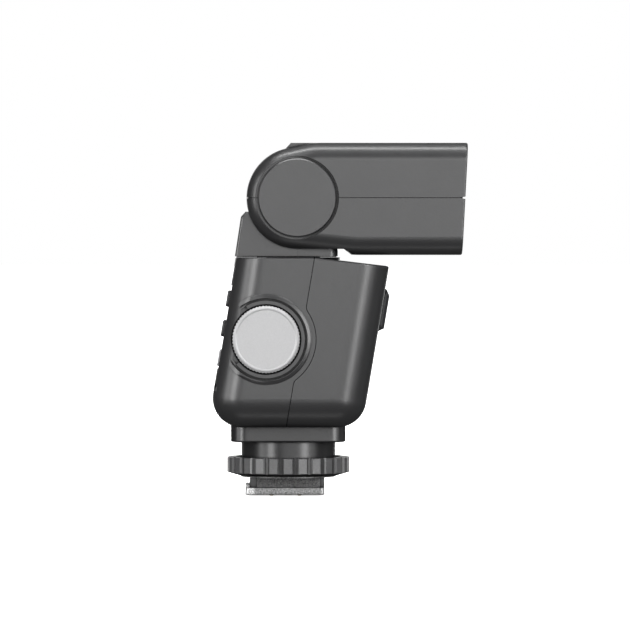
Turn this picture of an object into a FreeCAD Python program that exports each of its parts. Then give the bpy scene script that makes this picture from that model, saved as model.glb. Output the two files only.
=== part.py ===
"""A speedlight flash with a tilting and swivelling head, a hot-shoe foot with a lock ring, and a zooming flash tube.

Millimetres. The origin is the centre of the foot's underside, on the swivel axis. +X is the way the light points at
rest, +Y is the flash's left side and +Z is up.
"""
import FreeCAD, Part

import math
import os

V = FreeCAD.Vector
FAR = 60.0                    # larger than any half size, for cutting shapes
PLAY = 0.05                   # room round a part that drops into place
SNUG = 0.02                   # room round a part that is pressed or screwed down
PAST = 1.0                    # how far a cutting or joining shape runs past a face

# Foot, from the shoe plate upward
PLATE_X = (-12.2, 10.3)
PLATE_HALF_WIDTH = 9.3
PLATE_THICK = 2.0
PLATE_CORNER_R = 1.1
PLATE_CHAMFER = 0.3
PLATE_WINDOW = ((-7.2, 5.4), (-5.2, 5.2))
PLATE_WINDOW_R = 1.0
PLATE_SCREWS = [(-9.4, 3.6), (-9.4, -3.6), (8.2, 4.3), (8.2, -4.3)]
PLATE_SCREW_R = 0.8
PLATE_SCREW_HEAD_R = 1.4
PLATE_SCREW_Z = (0.08, 0.9, 4.6)          # the head's face, the head's end and the tip
STEM_X = (-11.0, 10.3)
STEM_HALF_WIDTH = 5.6
STEM_TOP = 6.6
WEB_X = (-8.9, 9.0)
WEB_HALF_WIDTH = 6.2
WEB_TOP = 5.6
WEB_ROOT = 1.6                            # the webs and the tab start inside the plate
TAB_X = (-12.2, -11.1)
TAB_HALF_WIDTH = 6.5
TAB_TOP = 2.9
CONTACT_SPOTS = [(0.0, 0.0, 1.2), (3.2, 3.4, 0.75), (3.2, -3.4, 0.75), (-4.8, 3.4, 0.75), (-4.8, -3.4, 0.75)]
CONTACT_TIP = -0.45
CONTACT_TIP_R = 0.35
CONTACT_FLANGE = (2.65, 3.3)
CONTACT_FLANGE_RIM = 0.45
CONTACT_ROOM_TOP = 5.2
CONTACT_BLOCK_Z = (0.15, 6.0)
CLAMP_R = 13.6
CLAMP_Z = (4.9, 5.9)
CLAMP_SLOT_PLAY = 0.2
CLAMP_TONGUE_HALF = 1.4
RING_R = 17.55
RING_RIDGES = 26
RING_RIDGE_DEPTH = 0.75
RING_RIDGE_ROOT = 0.40                    # half widths of a ridge as a share of its pitch
RING_RIDGE_TIP = 0.27
RING_Z = (5.3, 10.65)
RING_TOP_CHAMFER = (0.3, 0.15)            # inward and down
RING_BAND_BOTTOM = 6.25
RING_LOWER_R = 14.3
RING_RECESS_R = 15.0
RING_RECESS_FLOOR = 9.0
THREAD_R = 12.5
THREAD_Z = (6.3, 9.3)
THREAD_PLAY = 0.1
COLUMN_R = 13.5
COLUMN_TAPER = 0.1
COLUMN_SHOULDER = 0.3         # how far the column runs up into the block
LOCK_PIN_X = 7.4
LOCK_PIN_R = 1.1
LOCK_PIN_TIP = 0.3
LOCK_PIN_ROOM = 1.6
BLOCK_X = 16.3
BLOCK_Y = 14.5
BLOCK_Z = (15.1, 20.4)
BLOCK_CORNER_R = 4.8
BLOCK_EDGE_R = 0.5
SPIGOT_R = 9.0
SPIGOT_TOP = 23.0
WIRE_BORE_R = 5.0
FOOT_SCREWS = (12.2, 9.6)
FOOT_SCREW_R = 1.0
FOOT_SCREW_HEAD_R = 1.8
FOOT_SCREW_HEAD = (0.3, 1.6)              # the head's face and end above the block's underside
FOOT_SCREW_TIP = 24.0
FOOT_BOSS_R = 2.6
FOOT_BOSS_TOP = 24.6

# Body casing
LEAN = 9.5                    # forward lean of the casing, degrees
BODY_HALF_WIDTH = 29.0
BODY_BOTTOM = 19.6
BODY_TOP = 67.5
BODY_REAR_TOP_X = -14.75      # rear face at BODY_TOP
BODY_FRONT_TOP = (28.5, 64.95)
TOP_BREAK_X = 7.3             # where the flat top starts to slope down
BODY_SIDE_R = 9.0
BODY_BOTTOM_R = 8.2
TOP_EDGE_R = 0.5
WALL = 1.8
SEAM_TOP_X = 7.4              # casing seam at BODY_TOP
SEAM_GAP = 0.2
SEAM_DEPTH = 0.45

# Rear face
REAR_BAND_Z = (36.1, 59.7)
REAR_BAND_DEPTH = 0.35
BUTTON_Z = (55.85, 47.5, 39.2)
BUTTON_Y = -16.0
BUTTON_SIZE = (8.0, 4.7)
BUTTON_CORNER_R = 1.0
BUTTON_PROUD = (0.6, 0.6, 0.25)
BUTTON_DEPTH = 2.2
BUTTON_PLAY = 0.12
BUTTON_HOLE_DEPTH = 1.9
BUTTON_FLANGE = (1.95, 2.6)
BUTTON_FLANGE_RIM = 0.6
BUTTON_STEM_R = 1.2
BUTTON_STEM_END = 2.75
SWITCH_HALF = 3.0
SWITCH_DEPTH = (3.7, 5.2)
SWITCH_PLUNGER_TOP = 3.2
BUTTON_BOARD_DEPTH = (5.2, 6.2)
BUTTON_BOARD_Y = (-21.8, -10.2)
BUTTON_BOARD_MARGIN = 4.0
DISPLAY_Z = 47.5
DISPLAY_Y = 5.5
DISPLAY_SIZE = (30.0, 22.4)
DISPLAY_CORNER_R = 1.0
DISPLAY_GLASS_DEPTH = (0.38, 1.4)
DISPLAY_LEDGE = 1.2
DISPLAY_PANEL_DEPTH = (2.0, 4.4)
CASING_SCREW_Z = 30.5
CASING_SCREW_Y = 21.9
CASING_SCREW_R = 0.9
CASING_SCREW_HEAD_R = 1.7
CASING_SCREW_HEAD = (0.7, 2.0)
CASING_SCREW_LENGTH = 28.0
CASING_BOSS_R = 2.4
CASING_BOSS_START = 1.2
CASING_BOSS_END = 5.5
BOSS_INSET = 0.5              # bosses end this far inside the casing's outer faces
CASING_POST_R = 2.1
CASING_POST_START = 23.0       # behind this depth the screw is in the open
CROSS_SHARE = 0.2              # width of a screw's cross recess as a share of its length
RECESS_SPAN = 0.7             # share of a pan head that its recess spans
RECESS_SPAN_FLAT = 0.6        # the same in a countersunk head
RECESS_DEPTH = 0.4

# Control dial on the right side
DIAL_X = -6.08
DIAL_Z = 44.5
DIAL_R = 9.5
DIAL_FACE_R = 8.8
DIAL_FACE_RIM = 0.3
DIAL_DISH = 0.15
DIAL_BEVEL = 0.6
DIAL_Y = (-30.6, -24.6)
DIAL_KNURLS = 64
DIAL_KNURL_DEPTH = 0.25
DIAL_BORE_DEPTH = 3.5
DIAL_SHAFT_R = 2.0
DIAL_SHAFT_END = -17.8
ENCODER_HALF = 5.0
ENCODER_Y = (-22.6, -17.0)
POCKET_R = 9.9
POCKET_FLOOR = -24.4
COLLAR_R = 10.85
COLLAR_Y = (-30.0, -27.5)
COLLAR_GAP_ANGLES = (121, 220)            # the open part of the collar at the rear
COLLAR_GAP_FLOOR = -27.4
GROOVE_R = 11.7
GROOVE_FLOOR = -28.0
BOSS_R = 12.75
BOSS_PROUD = 0.5
BOSS_CREST = 0.25
CUP_WALL = 0.6
CUP_FLOOR = 1.6
DIAL_SEAM_R = 13.9
DIAL_SEAM_BLEND_R = 2.5

# Port cover on the left side, measured forward from the rear face
PORT_FROM, PORT_TO = 10.2, 20.6
PORT_Z = (29.0, 49.0)
PORT_COVER_THICK = 0.8
PORT_PLAY = 0.08
PORT_END_PLAY = 0.1
PORT_KNUCKLE_R = 0.75
PORT_KNUCKLE_PLAY = 0.1
PORT_RELIEF = 0.85
PORT_PAD_RIM = 1.2
PORT_PAD_Y = 25.8
PORT_GRIP = (0.8, 1.8)
PORT_GRIP_INSET = 5.0
PORT_GRIP_PROUD = 0.35
PORT_MIDDLE_SHIFT = 0.6
JACK_Z = 43.8
JACK_R = 1.3
JACK_DEPTH = 7.0
JACK_BODY_R = 3.0
JACK_BODY_Y = 19.2
SOCKET_FACE_Y = 27.6
USB_Z = 34.4
USB_HALF = (1.6, 4.5)
USB_CORNER_R = 1.5
USB_WALL = 0.35
USB_Y = 20.6
USB_FLOOR_Y = 21.4
USB_TONGUE = ((-0.35, 0.35), (20.8, 26.6), (-3.3, 3.3))
USB_PLAY = 0.25

# Focus-assist window on the front face
ASSIST_Z = 52.5
ASSIST_SIZE = (26.0, 12.2)
ASSIST_PROUD = 1.6
ASSIST_SIDE_CHAMFER = 0.9
ASSIST_CORNER_R = 1.8
ASSIST_SECTION = (1.1, 1.65, 0.5)         # lower slope, upper slope and the upper end's thickness
ASSIST_SPIGOT = ((-2.6, 0.5), (-11.5, 11.5), (-4.5, 4.5))
ASSIST_HOLE = ((-3, 3), (-11.6, 11.6), (-4.6, 4.6))
ASSIST_WINDOW = ((-3, 3), (-9.6, 9.6), (-3.6, 3.6))
ASSIST_LENS = ((-2.0, 1.4), (-9.5, 9.5), (-3.5, 3.5))
ASSIST_LENS_R = 0.4

# Parts inside the body; the board is measured from the rear face
MAIN_BOARD = ((8.6, 10.2), (-8, 19.2), (-15, 15))
MAIN_BOARD_Z = 43.0
CAPACITOR_AT = (11.2, 35.2)
CAPACITOR_R = 9.8
CAPACITOR_HALF = 18.5
CAPACITOR_EDGE_R = 0.8
TRANSFORMER_CORE = ((-8.4, -0.4), (3, 17), (25.2, 35.2))
TRANSFORMER_BOBBIN_R = 3.4
TRANSFORMER_BOBBIN_PROUD = 1.5
BATTERY = ((10.2, 22.6), (-22, 22), (47.4, 60.2))
BATTERY_EDGE_R = 2.0

# Swivel
SEAT_R = 14.7
SEAT_Z = (63.4, 67.5)
SEAT_LIP_Z = 66.7
SEAT_LOWER_TOP = 64.5
SEAT_LOWER_STEP = 0.7
SEAT_FLAT = 1.5
SEAT_WAIST_R = 12.2
SEAT_BORE_R = 9.05
HUB_R = 9.0
HUB_BORE_R = 6.5
HUB_FOOT_R = 8.0
HUB_BOTTOM = 60.9
HUB_FLANGE_R = 11.7
HUB_FLANGE_THICK = 1.35
RETAINER_R = 11.5
RETAINER_Z = (61.2, 62.4)
WASHER_THICK = 0.3
NECK_SCREW_RING_R = 10.5
NECK_SCREW_R = 0.8
NECK_SCREW_HEAD_R = 1.5
NECK_SCREW_HEAD_HEIGHT = 1.0
NECK_SCREW_TIP = 68.3

# Tilt hinge
HINGE_X = 2.62
HINGE_Z = 84.15

# Neck between the body and the head
NECK_HALF_WIDTH = 24.6
NECK_BOTTOM = 67.57
NECK_FOOT_HEIGHT = 0.22
NECK_FOOT_STEP = 0.35
NECK_X = (-14.9, 14.0)
NECK_REAR = [(-13.2, 78.9), (-11.9, 80.3), (-9.98, 80.3)]
NECK_FRONT = [(12.8, 75.6), (14.0, 69.3)]
NECK_REAR_R = 0.8
NECK_FRONT_R = 2.6
NECK_CAVITY_REAR = [(-11.5, 77.8), (-11.0, 78.4), (-7.5, 78.4)]
NECK_CAVITY_FRONT = [(10.8, 75.6), (12.1, 70.2)]
NECK_CAVITY_X = (-12.8, 12.1)
NECK_SPLIT_X = 2.8
NECK_DRUM_R = 13.2
NECK_DRUM_CHAMFER = 0.3
LOOM_R = 2.2
LOOM_PATH = [(0, 0, 61.5), (0, 0, 72), (1.2, 4, 80.5), (HINGE_X, 11, HINGE_Z), (HINGE_X, 18, HINGE_Z)]
DETENT_Y = (18.8, 21.0)
DETENT_SPRING_X = -6.4
DETENT_SPRING_THICK = 0.5
DETENT_ROLLER_R = 0.8
DETENT_ROLLER_DROP = 9.9                  # from the hinge down to the roller's middle

# Head, measured from the tilt hinge
HEAD_HALF_WIDTH = 30.0
HEAD_TOP = 15.47
HEAD_BOTTOM = -15.99
BARREL_R = 14.24
HEAD_EDGE_R = 5.1
HEAD_RIM_R = 0.5
HEAD_FRONT_X = 47.05          # front face at hinge height
HEAD_RAKE = 3.0               # degrees
HEAD_FRONT_ZONE = 1.5         # how far behind the front face its rim's edges lie
HEAD_REAR_SLOPE = 12.0        # degrees, from the barrel up to the top at the head's sides
HEAD_REAR_SLOPE_R = 20.0
HEAD_UNDER_SLOPE = 6.0        # degrees, from the barrel down to the underside
HEAD_UNDER_SLOPE_R = 40.0
RIDGE_REAR_X = -1.8           # the raised middle of the top, whose rear end is steep
RIDGE_FOOT_X = -3.3
RIDGE_FRONT_X = 9.0
RIDGE_HALF_WIDTH = 24.0
HEAD_STEP_X = (13.4, 15.6)    # where the cut that clears the casing slopes down to the underside
HEAD_SEAM_GAP = 0.16
HEAD_SEAM_DEPTH = 0.45
NOTCH_X = 45.2
NOTCH_END = (49.0, 0.68)
YOKE_GAP_HALF = 25.2
YOKE_GAP_R = 13.7
YOKE_GAP_FRONT = (14.4, -13.0)
YOKE_GAP_ANGLE = -33          # degrees
EAR_INNER_WALL = 27.0
EAR_CAVITY_R = 11.2
EAR_CAVITY_END = 28.2
CAP_R = 11.0
CAP_POCKET_R = 11.7
CAP_POCKET_FLOOR = 29.2
CAP_SEAT_R = 9.8
CAP_Y = (28.3, 29.25, 29.75, 30.1)        # the inner face, the rim's two edges and the outer face
CAP_EDGE = 0.35
CAP_HOLLOW_RIM = 1.5
CAP_HOLLOW_END = 28.9
AXLE_R = 6.0
AXLE_BORE_R = 3.5
AXLE_FLANGE_R = 8.6
AXLE_FLANGE_Y = (27.05, 28.1)
AXLE_INNER_Y = 20.0
AXLE_SCREW_RING_R = 7.2
AXLE_SCREW_R = 0.6
AXLE_SCREW_HEAD_R = 0.95
AXLE_SCREW_Y = (25.6, 28.3, 28.6)
DETENT_DISC_R = 9.0
DETENT_DISC_THICK = 0.9
DETENT_STOPS = (-6, 0, 45, 60, 75, 90)
DETENT_NOTCH_R = 0.85
DETENT_NOTCH_RING_R = 9.35
HEAD_ROOM = ((16.0, 43.4), (-28.2, 28.2), (-14.0, 10.3))
HEAD_MOUTH = ((43.3, FAR), (-27.7, 27.7), (-13.4, 10.4))
PANEL_SLOT_X = 10.4
PANEL_SLOT_Z = (11.1, 13.4)
PANEL_SLOT_HALF = 26.0
PANEL_LENGTH = 36.0
PANEL_HALF_WIDTH = 25.6
PANEL_CORNER_R = 1.5
PANEL_FRONT_X = 47.2
PANEL_Z = (11.2, 12.1)
PANEL_RIBS = (20.0, 24.0, 28.0, 32.0, 36.0, 40.0)
PANEL_RIB_WIDTH = 0.6
PANEL_RIB_HALF = 23.0
PANEL_RIB_TOP = 12.3
CARD_FRONT_X = 47.4
CARD_Z = (12.55, 13.2)
THUMB_X = 48.5
THUMB_R = 7.0
THUMB_FLOOR = 12.2

# Lens, measured from the head's raked front face
OPENING_HALF_WIDTH = 25.0
OPENING_Z = (-12.3, 9.7)
BEZEL = ((-3.4, -0.7), (-27.5, 27.5), (-13.2, 10.2))
BEZEL_CORNER_R = 1.2
BEZEL_LEDGE_X = -1.9
BEZEL_LEDGE = 0.9
BEZEL_LEDGE_Z = (0.4, 0.1)
LENS_X = (-2.6, -1.0)
LENS_CORNER_R = 0.9
LENS_STEPS = 9
LENS_RIDGE_X = -3.15
LENS_RIDGE_INSET = 0.6
LENS_RIDGE_MARGIN = 0.3

# Zoom carriage, measured from the tilt hinge
ZOOM_AXIS_Z = -1.3
ROD_Y = 24.5
ROD_Z = -6.0
ROD_R = 1.0
ROD_X = (14.95, 42.6)
SCREW_Y = 24.6
SCREW_Z = 4.0
SCREW_R = 1.25
SCREW_X = (15.0, 37.9)
MOTOR_R = 3.2
MOTOR_X = (36.4, 42.8)
MOTOR_EDGE_R = 0.4
MOTOR_BORE_END = 38.0
CARRIAGE_X = (27.0, 28.4)
CARRIAGE_HALF = (26.2, 9.5)
SLIDER_END = 32.0
SLIDER_HALF = 1.7
NUT_END = 30.0
NUT = (2.0, 1.6)
TROUGH_MOUTH_X = 41.5
TROUGH_BACK_X = 29.0
TROUGH_HALF_HEIGHT = 10.5
TROUGH_HALF_WIDTH = 20.5
TROUGH_WALL = 0.5
TROUGH_TAB = ((28.42, 29.4), (-6, 6), (-1.5, 1.5))
TUBE_X = 33.6
TUBE_R = 2.0
TUBE_HALF = 22.6
BOOT_WALL = 0.7
BOOT_Y = (21.3, 23.4)
BOOT_BORE_END = 22.65
COIL_AT = (30.4, 7.2)
COIL_R = 1.3
COIL_HALF = 6.0

SLOPE = math.tan(math.radians(LEAN))
LEAN_COS = math.cos(math.radians(LEAN))
LEAN_TURN = FreeCAD.Rotation(V(0, 1, 0), LEAN)
RAKE_TURN = FreeCAD.Rotation(V(0, 1, 0), HEAD_RAKE)
NECK_FLOOR = NECK_BOTTOM + WALL
HUB_FLANGE_Z = (NECK_FLOOR + 2 * SNUG, NECK_FLOOR + 2 * SNUG + HUB_FLANGE_THICK)


# ---- helpers ----

def box(x, y, z):
    """A block between each pair of limits."""
    return Part.makeBox(x[1] - x[0], y[1] - y[0], z[1] - z[0], V(x[0], y[0], z[0]))


def rod(radius, start, end):
    """A round bar from one point to another."""
    start = V(*start)
    end = V(*end)
    return Part.makeCylinder(radius, (end - start).Length, start, end - start)


def outward(solid):
    """The same solid with its faces turned outward."""
    if solid.Volume < 0:
        solid.reverse()
    return solid


def prism(outline, y):
    """An XZ outline extruded between two Y values."""
    points = [V(x, y[0], z) for x, z in outline]
    face = Part.Face(Part.makePolygon(points + points[:1]))
    return outward(face.extrude(V(0, y[1] - y[0], 0)))


def turned_z(profile, x=0.0, y=0.0):
    """A (radius, z) profile turned about a vertical axis."""
    points = [V(x + r, y, z) for r, z in profile]
    face = Part.Face(Part.makePolygon(points + points[:1]))
    return outward(face.revolve(V(x, y, 0), V(0, 0, 1), 360))


def turned_y(profile, x, z):
    """A (radius, y) profile turned about an axis along Y."""
    points = [V(x + r, y, z) for r, y in profile]
    face = Part.Face(Part.makePolygon(points + points[:1]))
    return outward(face.revolve(V(x, 0, z), V(0, 1, 0), 360))


def tube_y(outer, inner, x, z, y):
    """A ring about an axis along Y."""
    return turned_y([(inner, y[0]), (outer, y[0]), (outer, y[1]), (inner, y[1])], x, z)


def tube_z(outer, inner, z):
    """A ring about the swivel axis."""
    return turned_z([(inner, z[0]), (outer, z[0]), (outer, z[1]), (inner, z[1])])


def mirrored(shape):
    """The shape reflected to the other side."""
    return shape.mirror(V(0, 0, 0), V(0, 1, 0))


def group(shapes):
    """Separate solids kept in one node."""
    return Part.makeCompound(list(shapes))


def fused(shapes):
    """One solid made of several."""
    return shapes[0].fuse(list(shapes[1:])).removeSplitter()


def largest(shape):
    """The biggest solid, with any loose sliver from the cuts left behind."""
    return max(shape.Solids, key=lambda s: s.Volume)


def span(edge, axis):
    """An edge's extent along one axis."""
    bounds = edge.BoundBox
    return {"x": bounds.XLength, "y": bounds.YLength, "z": bounds.ZLength}[axis]


def rounded_along(shape, radius, axis):
    """The shape with its straight edges along one axis rounded."""
    others = [a for a in "xyz" if a != axis]
    edges = [e for e in shape.Edges if span(e, axis) > 1e-4 and all(span(e, a) < 1e-4 for a in others)]
    return shape.makeFillet(radius, edges)


def rounded_at(shape, radius, axis, value):
    """The shape with every edge lying in the plane axis = value rounded."""
    return shape.makeFillet(radius, edges_at(shape, axis, value))


def edges_at(shape, axis, value):
    """The edges that lie in the plane axis = value."""
    chosen = []
    for edge in shape.Edges:
        bounds = edge.BoundBox
        low, high = {"x": (bounds.XMin, bounds.XMax), "y": (bounds.YMin, bounds.YMax),
                     "z": (bounds.ZMin, bounds.ZMax)}[axis]
        if abs(low - value) < 1e-3 and abs(high - value) < 1e-3:
            chosen.append(edge)
    return chosen


def four_spots(x, y):
    """The four points at a distance either side of both axes."""
    return [(x, y), (x, -y), (-x, y), (-x, -y)]


def on_ring(radius):
    """Four points on a circle, one in each quarter."""
    reach = radius * math.sqrt(0.5)
    return four_spots(reach, reach)


def rear_x(z):
    """X of the casing's rear face at height z."""
    return BODY_REAR_TOP_X - (BODY_TOP - z) * SLOPE


def front_x(z):
    """X of the casing's front face at height z."""
    return BODY_FRONT_TOP[0] - (BODY_FRONT_TOP[1] - z) * SLOPE


def on_rear(shape, z):
    """Moves a shape drawn with +X into the body and +Z up the face onto the rear face at height z."""
    moved = shape.copy()
    moved.Placement = FreeCAD.Placement(V(rear_x(z), 0, z), LEAN_TURN)
    return moved


def on_front(shape, z):
    """Moves a shape drawn with +X out of the body onto the front face at height z."""
    moved = shape.copy()
    moved.Placement = FreeCAD.Placement(V(front_x(z), 0, z), LEAN_TURN)
    return moved


def from_hinge(shape):
    """Moves a shape drawn about the tilt hinge into place."""
    moved = shape.copy()
    moved.translate(V(HINGE_X, 0, HINGE_Z))
    return moved


def on_lens(shape):
    """Moves a shape drawn with +X out of the head onto the raked front face."""
    moved = shape.copy()
    moved.Placement = FreeCAD.Placement(V(HEAD_FRONT_X, 0, 0), RAKE_TURN)
    return moved


# ---- foot ----

def plate_window(grow, z):
    """The opening in the plate and stem that takes the contact block."""
    (x0, x1), (y0, y1) = PLATE_WINDOW
    return rounded_along(box((x0 - grow, x1 + grow), (y0 - grow, y1 + grow), z), PLATE_WINDOW_R + grow, "z")


def plate_screw(x, y, grow=0.0):
    """A countersunk screw from the plate's underside into the stem."""
    face, end, tip = PLATE_SCREW_Z
    radius = PLATE_SCREW_R + grow
    head = turned_z([(0, face), (PLATE_SCREW_HEAD_R + grow, face), (radius, end), (0, end)], x, y)
    return head.fuse(rod(radius, (x, y, end / 2), (x, y, tip + grow)))


def foot_plate():
    plate = box(PLATE_X, (-PLATE_HALF_WIDTH, PLATE_HALF_WIDTH), (0, PLATE_THICK))
    plate = rounded_along(plate, PLATE_CORNER_R, "z")
    plate = plate.makeChamfer(PLATE_CHAMFER, edges_at(plate, "z", 0.0))
    web = box(WEB_X, (STEM_HALF_WIDTH + SNUG, WEB_HALF_WIDTH), (WEB_ROOT, WEB_TOP))
    tab = box(TAB_X, (-TAB_HALF_WIDTH, TAB_HALF_WIDTH), (WEB_ROOT, TAB_TOP))
    shape = fused([plate, web, mirrored(web), tab])
    shape = shape.cut(plate_window(PLAY, (-PAST, PLATE_THICK + PAST)))
    shape = shape.cut(rod(LOCK_PIN_R + 2 * PLAY, (LOCK_PIN_X, 0, -PAST), (LOCK_PIN_X, 0, PLATE_THICK + PAST)))
    for x, y in PLATE_SCREWS:
        shape = shape.cut(plate_screw(x, y, SNUG))
        shape = shape.cut(rod(PLATE_SCREW_HEAD_R + SNUG, (x, y, -PAST), (x, y, PLATE_SCREW_Z[0] + SNUG)))
    return shape


def contact_block():
    """The insulator, with a stepped hole for each contact."""
    shape = plate_window(0.0, CONTACT_BLOCK_Z)
    flange_low = CONTACT_FLANGE[0]
    for x, y, radius in CONTACT_SPOTS:
        room = radius + CONTACT_FLANGE_RIM + 2 * PLAY
        shape = shape.cut(rod(radius + PLAY, (x, y, 0), (x, y, flange_low)))
        shape = shape.cut(rod(room, (x, y, flange_low - SNUG), (x, y, CONTACT_ROOM_TOP)))
    return shape


def contact_pins():
    flange_low, flange_high = CONTACT_FLANGE
    pins = []
    for x, y, radius in CONTACT_SPOTS:
        tip = rod(radius, (x, y, CONTACT_TIP), (x, y, flange_high))
        tip = rounded_at(tip, CONTACT_TIP_R, "z", CONTACT_TIP)
        pins.append(tip.fuse(rod(radius + CONTACT_FLANGE_RIM, (x, y, flange_low), (x, y, flange_high))))
    return group(pins)


def block_body(grow):
    """The rectangular head of the foot, which sits in the casing's floor."""
    low, high = BLOCK_Z
    shape = box((-BLOCK_X - grow, BLOCK_X + grow), (-BLOCK_Y - grow, BLOCK_Y + grow), (low, high + grow))
    return rounded_along(shape, BLOCK_CORNER_R + grow, "z")


def foot_column():
    """The stem in the plate, the column inside the ring and the block that carries the casing."""
    low = BLOCK_Z[0]
    thread_low, thread_high = THREAD_Z
    shoulder = low + COLUMN_SHOULDER
    stem = box(STEM_X, (-STEM_HALF_WIDTH, STEM_HALF_WIDTH), (PLATE_THICK, STEM_TOP))
    thread = rod(THREAD_R, (0, 0, thread_low), (0, 0, thread_high + PAST))
    column = turned_z([(0, thread_high), (COLUMN_R - COLUMN_TAPER, thread_high), (COLUMN_R, shoulder), (0, shoulder)])
    head = rounded_at(block_body(0.0), BLOCK_EDGE_R, "z", low)
    spigot = rod(SPIGOT_R, (0, 0, low + PAST), (0, 0, SPIGOT_TOP))
    shape = fused([stem, thread, column, head, spigot])
    shape = shape.cut(plate_window(PLAY, (0, CONTACT_BLOCK_Z[1] + 2 * PLAY)))
    shape = shape.cut(rod(WIRE_BORE_R, (0, 0, CLAMP_Z[0]), (0, 0, FAR)))
    shape = shape.cut(box((LOCK_PIN_X - LOCK_PIN_ROOM, FAR), (-LOCK_PIN_ROOM, LOCK_PIN_ROOM), (0, thread_low)))
    for x, y in PLATE_SCREWS:
        shape = shape.cut(rod(PLATE_SCREW_R + SNUG, (x, y, 0), (x, y, PLATE_SCREW_Z[2] + PLAY)))
    for x, y in four_spots(*FOOT_SCREWS):
        shape = shape.cut(rod(FOOT_SCREW_HEAD_R + 2 * PLAY, (x, y, 0), (x, y, low + FOOT_SCREW_HEAD[1] + PLAY)))
        shape = shape.cut(rod(FOOT_SCREW_R + PLAY, (x, y, low), (x, y, FAR)))
    return shape


def cross_recess(x, y, z, half):
    """The two slots of a screw's cross recess, for a head that faces down."""
    thin = (-CROSS_SHARE * half, CROSS_SHARE * half)
    wide = (-half, half)
    slots = [box((x + a[0], x + a[1]), (y + b[0], y + b[1]), z) for a, b in ((thin, wide), (wide, thin))]
    return slots[0].fuse(slots[1])


def foot_screws():
    low = BLOCK_Z[0]
    face, end = FOOT_SCREW_HEAD
    screws = []
    for x, y in four_spots(*FOOT_SCREWS):
        head = rod(FOOT_SCREW_HEAD_R, (x, y, low + face), (x, y, low + end))
        shank = rod(FOOT_SCREW_R, (x, y, low + end / 2), (x, y, FOOT_SCREW_TIP))
        recess = cross_recess(x, y, (low, low + face + RECESS_DEPTH), RECESS_SPAN * FOOT_SCREW_HEAD_R)
        screws.append(head.fuse(shank).cut(recess))
    return group(screws)


def plate_screws():
    recess_half = RECESS_SPAN_FLAT * PLATE_SCREW_HEAD_R
    recess_z = (0, PLATE_SCREW_Z[1] / 2)
    return group(plate_screw(x, y).cut(cross_recess(x, y, recess_z, recess_half)) for x, y in PLATE_SCREWS)


def clamp_plate():
    """The plate under the ring, with a tongue that holds the lock pin."""
    room = CLAMP_SLOT_PLAY
    half = CLAMP_TONGUE_HALF
    shape = rod(CLAMP_R, (0, 0, CLAMP_Z[0]), (0, 0, CLAMP_Z[1]))
    slot = box((STEM_X[0] - room, STEM_X[1] + room), (-WEB_HALF_WIDTH - room, WEB_HALF_WIDTH + room), (0, FAR))
    tongue = box((LOCK_PIN_X - half, STEM_X[1] + PAST), (-half, half), CLAMP_Z)
    shape = shape.cut(slot).fuse(tongue).removeSplitter()
    return shape.cut(rod(LOCK_PIN_R + SNUG, (LOCK_PIN_X, 0, 0), (LOCK_PIN_X, 0, FAR)))


def lock_pin():
    pin = rod(LOCK_PIN_R, (LOCK_PIN_X, 0, LOCK_PIN_TIP), (LOCK_PIN_X, 0, CLAMP_Z[1]))
    return rounded_at(pin, LOCK_PIN_TIP, "z", LOCK_PIN_TIP)


def ridge_outline():
    """A ring of trapezoid ridges: each ridge has a flat tip and sloping flanks."""
    root = RING_R - RING_RIDGE_DEPTH
    step = 360.0 / RING_RIDGES
    section = ((root, -RING_RIDGE_ROOT), (RING_R, -RING_RIDGE_TIP), (RING_R, RING_RIDGE_TIP), (root, RING_RIDGE_ROOT))
    points = []
    for i in range(RING_RIDGES):
        for radius, offset in section:
            angle = math.radians((i + 0.5 + offset) * step)
            points.append(V(radius * math.cos(angle), radius * math.sin(angle), 0))
    return points


def lock_ring():
    """The ridged ring, with a recess over its thread and a ledge that presses on the clamp plate."""
    points = ridge_outline()
    ridges = outward(Part.Face(Part.makePolygon(points + points[:1])).extrude(V(0, 0, FAR)))
    low, high = RING_Z
    bore = THREAD_R + THREAD_PLAY
    ledge = CLAMP_R + CLAMP_SLOT_PLAY
    outside = RING_R + PAST
    chamfer_in, chamfer_down = RING_TOP_CHAMFER
    turned = turned_z([
        (bore, CLAMP_Z[1] + PLAY), (ledge, CLAMP_Z[1] + PLAY), (ledge, low), (RING_LOWER_R, low),
        (RING_R, RING_BAND_BOTTOM), (outside, RING_BAND_BOTTOM), (outside, high - chamfer_down),
        (RING_R, high - chamfer_down), (RING_R - chamfer_in, high), (RING_RECESS_R, high),
        (RING_RECESS_R, RING_RECESS_FLOOR), (bore, RING_RECESS_FLOOR)])
    return turned.common(ridges)


# ---- body casing ----

def body_block(inset):
    """The casing's outer form, moved inward by the inset."""
    top = BODY_TOP - inset
    bottom = BODY_BOTTOM + inset
    half = BODY_HALF_WIDTH - inset
    across = inset / LEAN_COS
    front_z = BODY_FRONT_TOP[1] - inset
    outline = [(rear_x(bottom) + across, bottom), (front_x(bottom) - across, bottom),
               (front_x(front_z) - across, front_z), (TOP_BREAK_X, top), (rear_x(top) + across, top)]
    shape = prism(outline, (-half, half))
    corners = [e for e in shape.Edges if span(e, "z") > FAR / 3]
    shape = shape.makeFillet(BODY_SIDE_R - inset, corners)
    return rounded_at(shape, BODY_BOTTOM_R - inset, "z", bottom)


def casing_outside():
    """The casing's outer form with its top edge broken."""
    shape = body_block(0.0)
    top = [e for e in shape.Edges if e.BoundBox.ZMin > BODY_FRONT_TOP[1] - 0.01]
    crease = [e for e in top if span(e, "y") > BODY_HALF_WIDTH and abs(e.BoundBox.XMin - TOP_BREAK_X) < 0.01]
    return shape.makeFillet(TOP_EDGE_R, [e for e in top if not any(e.isSame(c) for c in crease)])


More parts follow.
